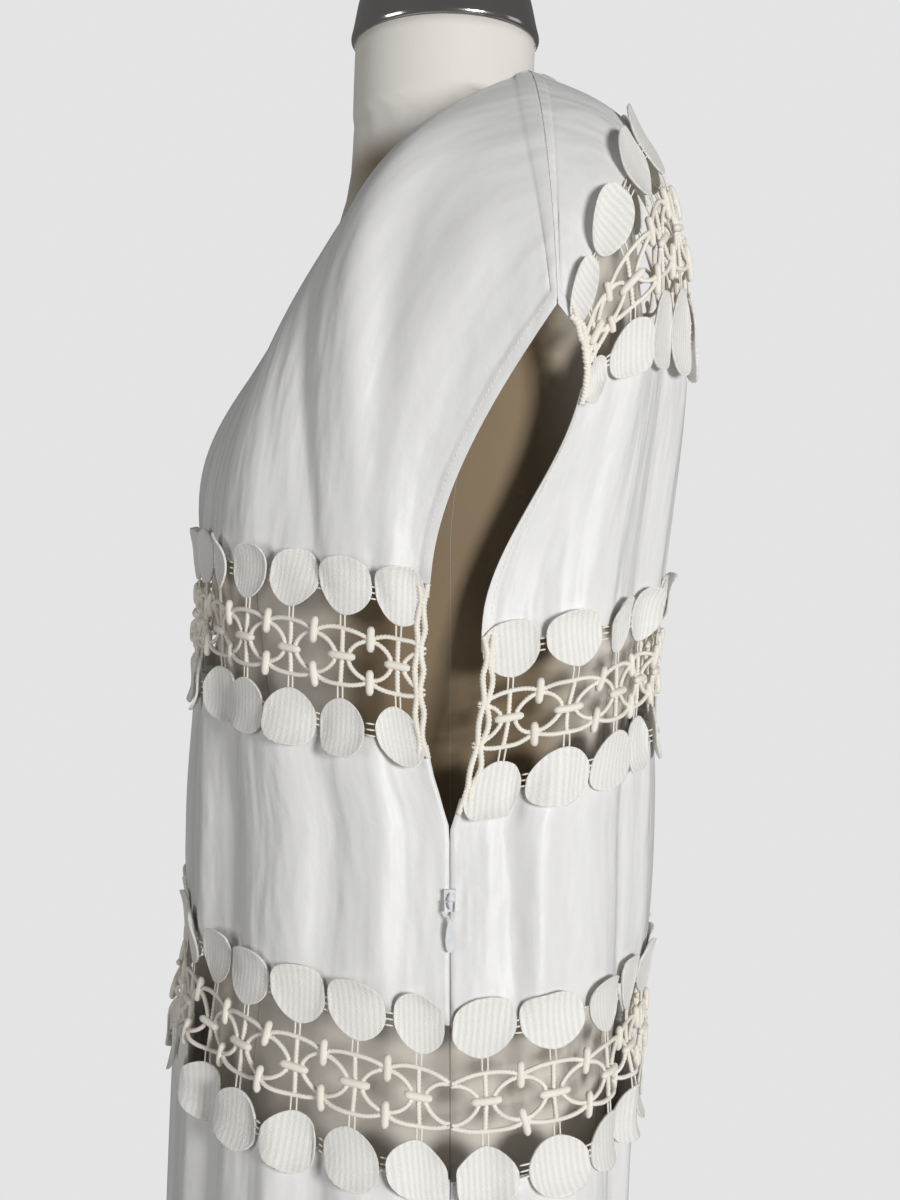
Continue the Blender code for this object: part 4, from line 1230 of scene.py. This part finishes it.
def metal_parts(finish):
    low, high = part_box("neck_cap")
    middle = (low + high) / 2
    widths = ((high.x - low.x) / 2, (high.y - low.y) / 2)
    tall = high.z - low.z
    profile = rounded([(r, low.z + h * tall) for r, h in CAP_SHAPE], 0.2, 4)
    turned("neck_cap_steel", profile, middle, widths, 96, finish, "neck_cap")
    low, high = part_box("stand_base")
    wide, tall = high.x - low.x, high.z
    half = BASE_SHAPE[-2][0]
    profile = rounded([(r * wide / 2 / half, z * tall / BASE_SHAPE[0][1]) for r, z in BASE_SHAPE], 4 * MM, 4)
    turned("stand_base_steel", profile, (0, 0), (1, 1), 128, finish, "stand_base")
    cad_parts["stand_pole"].data.materials[0] = finish
    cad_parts["stand_pole"].data.shade_smooth()


def zip_parts(finish):
    for name in ("zip_slider", "zip_pull"):
        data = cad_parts[name].data
        data.materials.clear()
        data.materials.append(finish)


def camera():
    data = bpy.data.cameras.new("camera")
    data.sensor_fit = "VERTICAL"
    data.sensor_height = 36
    data.lens = data.sensor_height * FOCAL_PIXELS / PICTURE[1]
    made = bpy.data.objects.new("camera", data)
    made.location = (CAMERA_X, 0, CAMERA_Z)
    made.rotation_euler = (math.radians(90), 0, math.radians(90))
    bpy.context.scene.collection.objects.link(made)
    bpy.context.scene.camera = made


def softbox(name, place, target, size, power, colour=(1, 1, 1)):
    data = bpy.data.lights.new(name, "AREA")
    data.shape = "RECTANGLE"
    data.size, data.size_y = size
    data.energy = power
    data.color = colour
    made = bpy.data.objects.new(name, data)
    made.location = place
    made.rotation_euler = (Vector(target) - Vector(place)).to_track_quat("-Z", "Y").to_euler()
    bpy.context.scene.collection.objects.link(made)


def studio():
    """A pale floor disc, an even pale surround and large soft lights."""
    bpy.context.scene.view_settings.view_transform = "Standard"
    steps = 96
    turns = [2 * math.pi * i / steps for i in range(steps)]
    ring = [(FLOOR_RADIUS * math.cos(turn), FLOOR_RADIUS * math.sin(turn), 0) for turn in turns]
    floor_finish = material("floor", (0.72, 0.72, 0.72), 0.9)
    tone = noise(floor_finish, mapped(floor_finish, "Object", (3, 3, 3)), 1.0, 2)
    shade = mixed(floor_finish, tone, (0.71, 0.71, 0.71), (0.74, 0.74, 0.74))
    link(floor_finish, shade, shader_of(floor_finish).inputs["Base Color"])
    floor = mesh_object("floor", ring, [tuple(range(steps))], [floor_finish])
    floor.location.z = -0.5 * MM
    world = bpy.data.worlds.new("surround")
    bpy.context.scene.world = world
    world.use_nodes = True
    tree = world.node_tree
    seen = tree.nodes["Background"]
    seen.inputs["Color"].default_value = (0.776, 0.776, 0.776, 1)
    around = tree.nodes.new("ShaderNodeBackground")
    around.inputs["Color"].default_value = (0.125, 0.125, 0.126, 1)
    path = tree.nodes.new("ShaderNodeLightPath")
    either = tree.nodes.new("ShaderNodeMixShader")
    tree.links.new(path.outputs["Is Camera Ray"], either.inputs[0])
    tree.links.new(around.outputs[0], either.inputs[1])
    tree.links.new(seen.outputs[0], either.inputs[2])
    tree.links.new(either.outputs[0], tree.nodes["World Output"].inputs["Surface"])
    softbox("key", (2.05, 1.30, 1.20), (0, 0, 1.1), (0.6, 0.6), 44)
    softbox("front", (1.3, -2.1, 1.2), (0, 0, 1.1), (0.8, 1.4), 14)
    softbox("back", (0.2, 2.3, 1.6), (0, 0, 1.1), (0.8, 1.4), 2)
    softbox("far", (-2.3, 0.0, 1.3), (0, 0, 1.0), (1.2, 1.2), 12)


camera()
studio()

cloth_finish = cloth_material()
ovals_finish = oval_material()
cords_finish = cord_material()
steel_finish = steel_material()
thread_finish = cord_material()
thread_finish.name = "sewing_thread"

for name in HELD:
    panel_piece(name, cloth_finish)

BAND_NODES = {
    "front_bust_lace": ("front", "bust"),
    "front_hip_lace": ("front", "hip"),
    "back_yoke_lace": ("back", "yoke"),
    "back_bust_lace": ("back", "bust"),
    "back_hip_lace": ("back", "hip"),
}
for name, (panel, band) in BAND_NODES.items():
    band_piece(name, panel, band, ovals_finish, cords_finish)

shoulder_seams(cloth_finish)
armhole_stitches(thread_finish)
hem_stitches(thread_finish)
dress_form(linen_material(), material("form_seam", (0.30, 0.27, 0.22), 0.8))
metal_parts(steel_finish)
zip_parts(enamel_material())
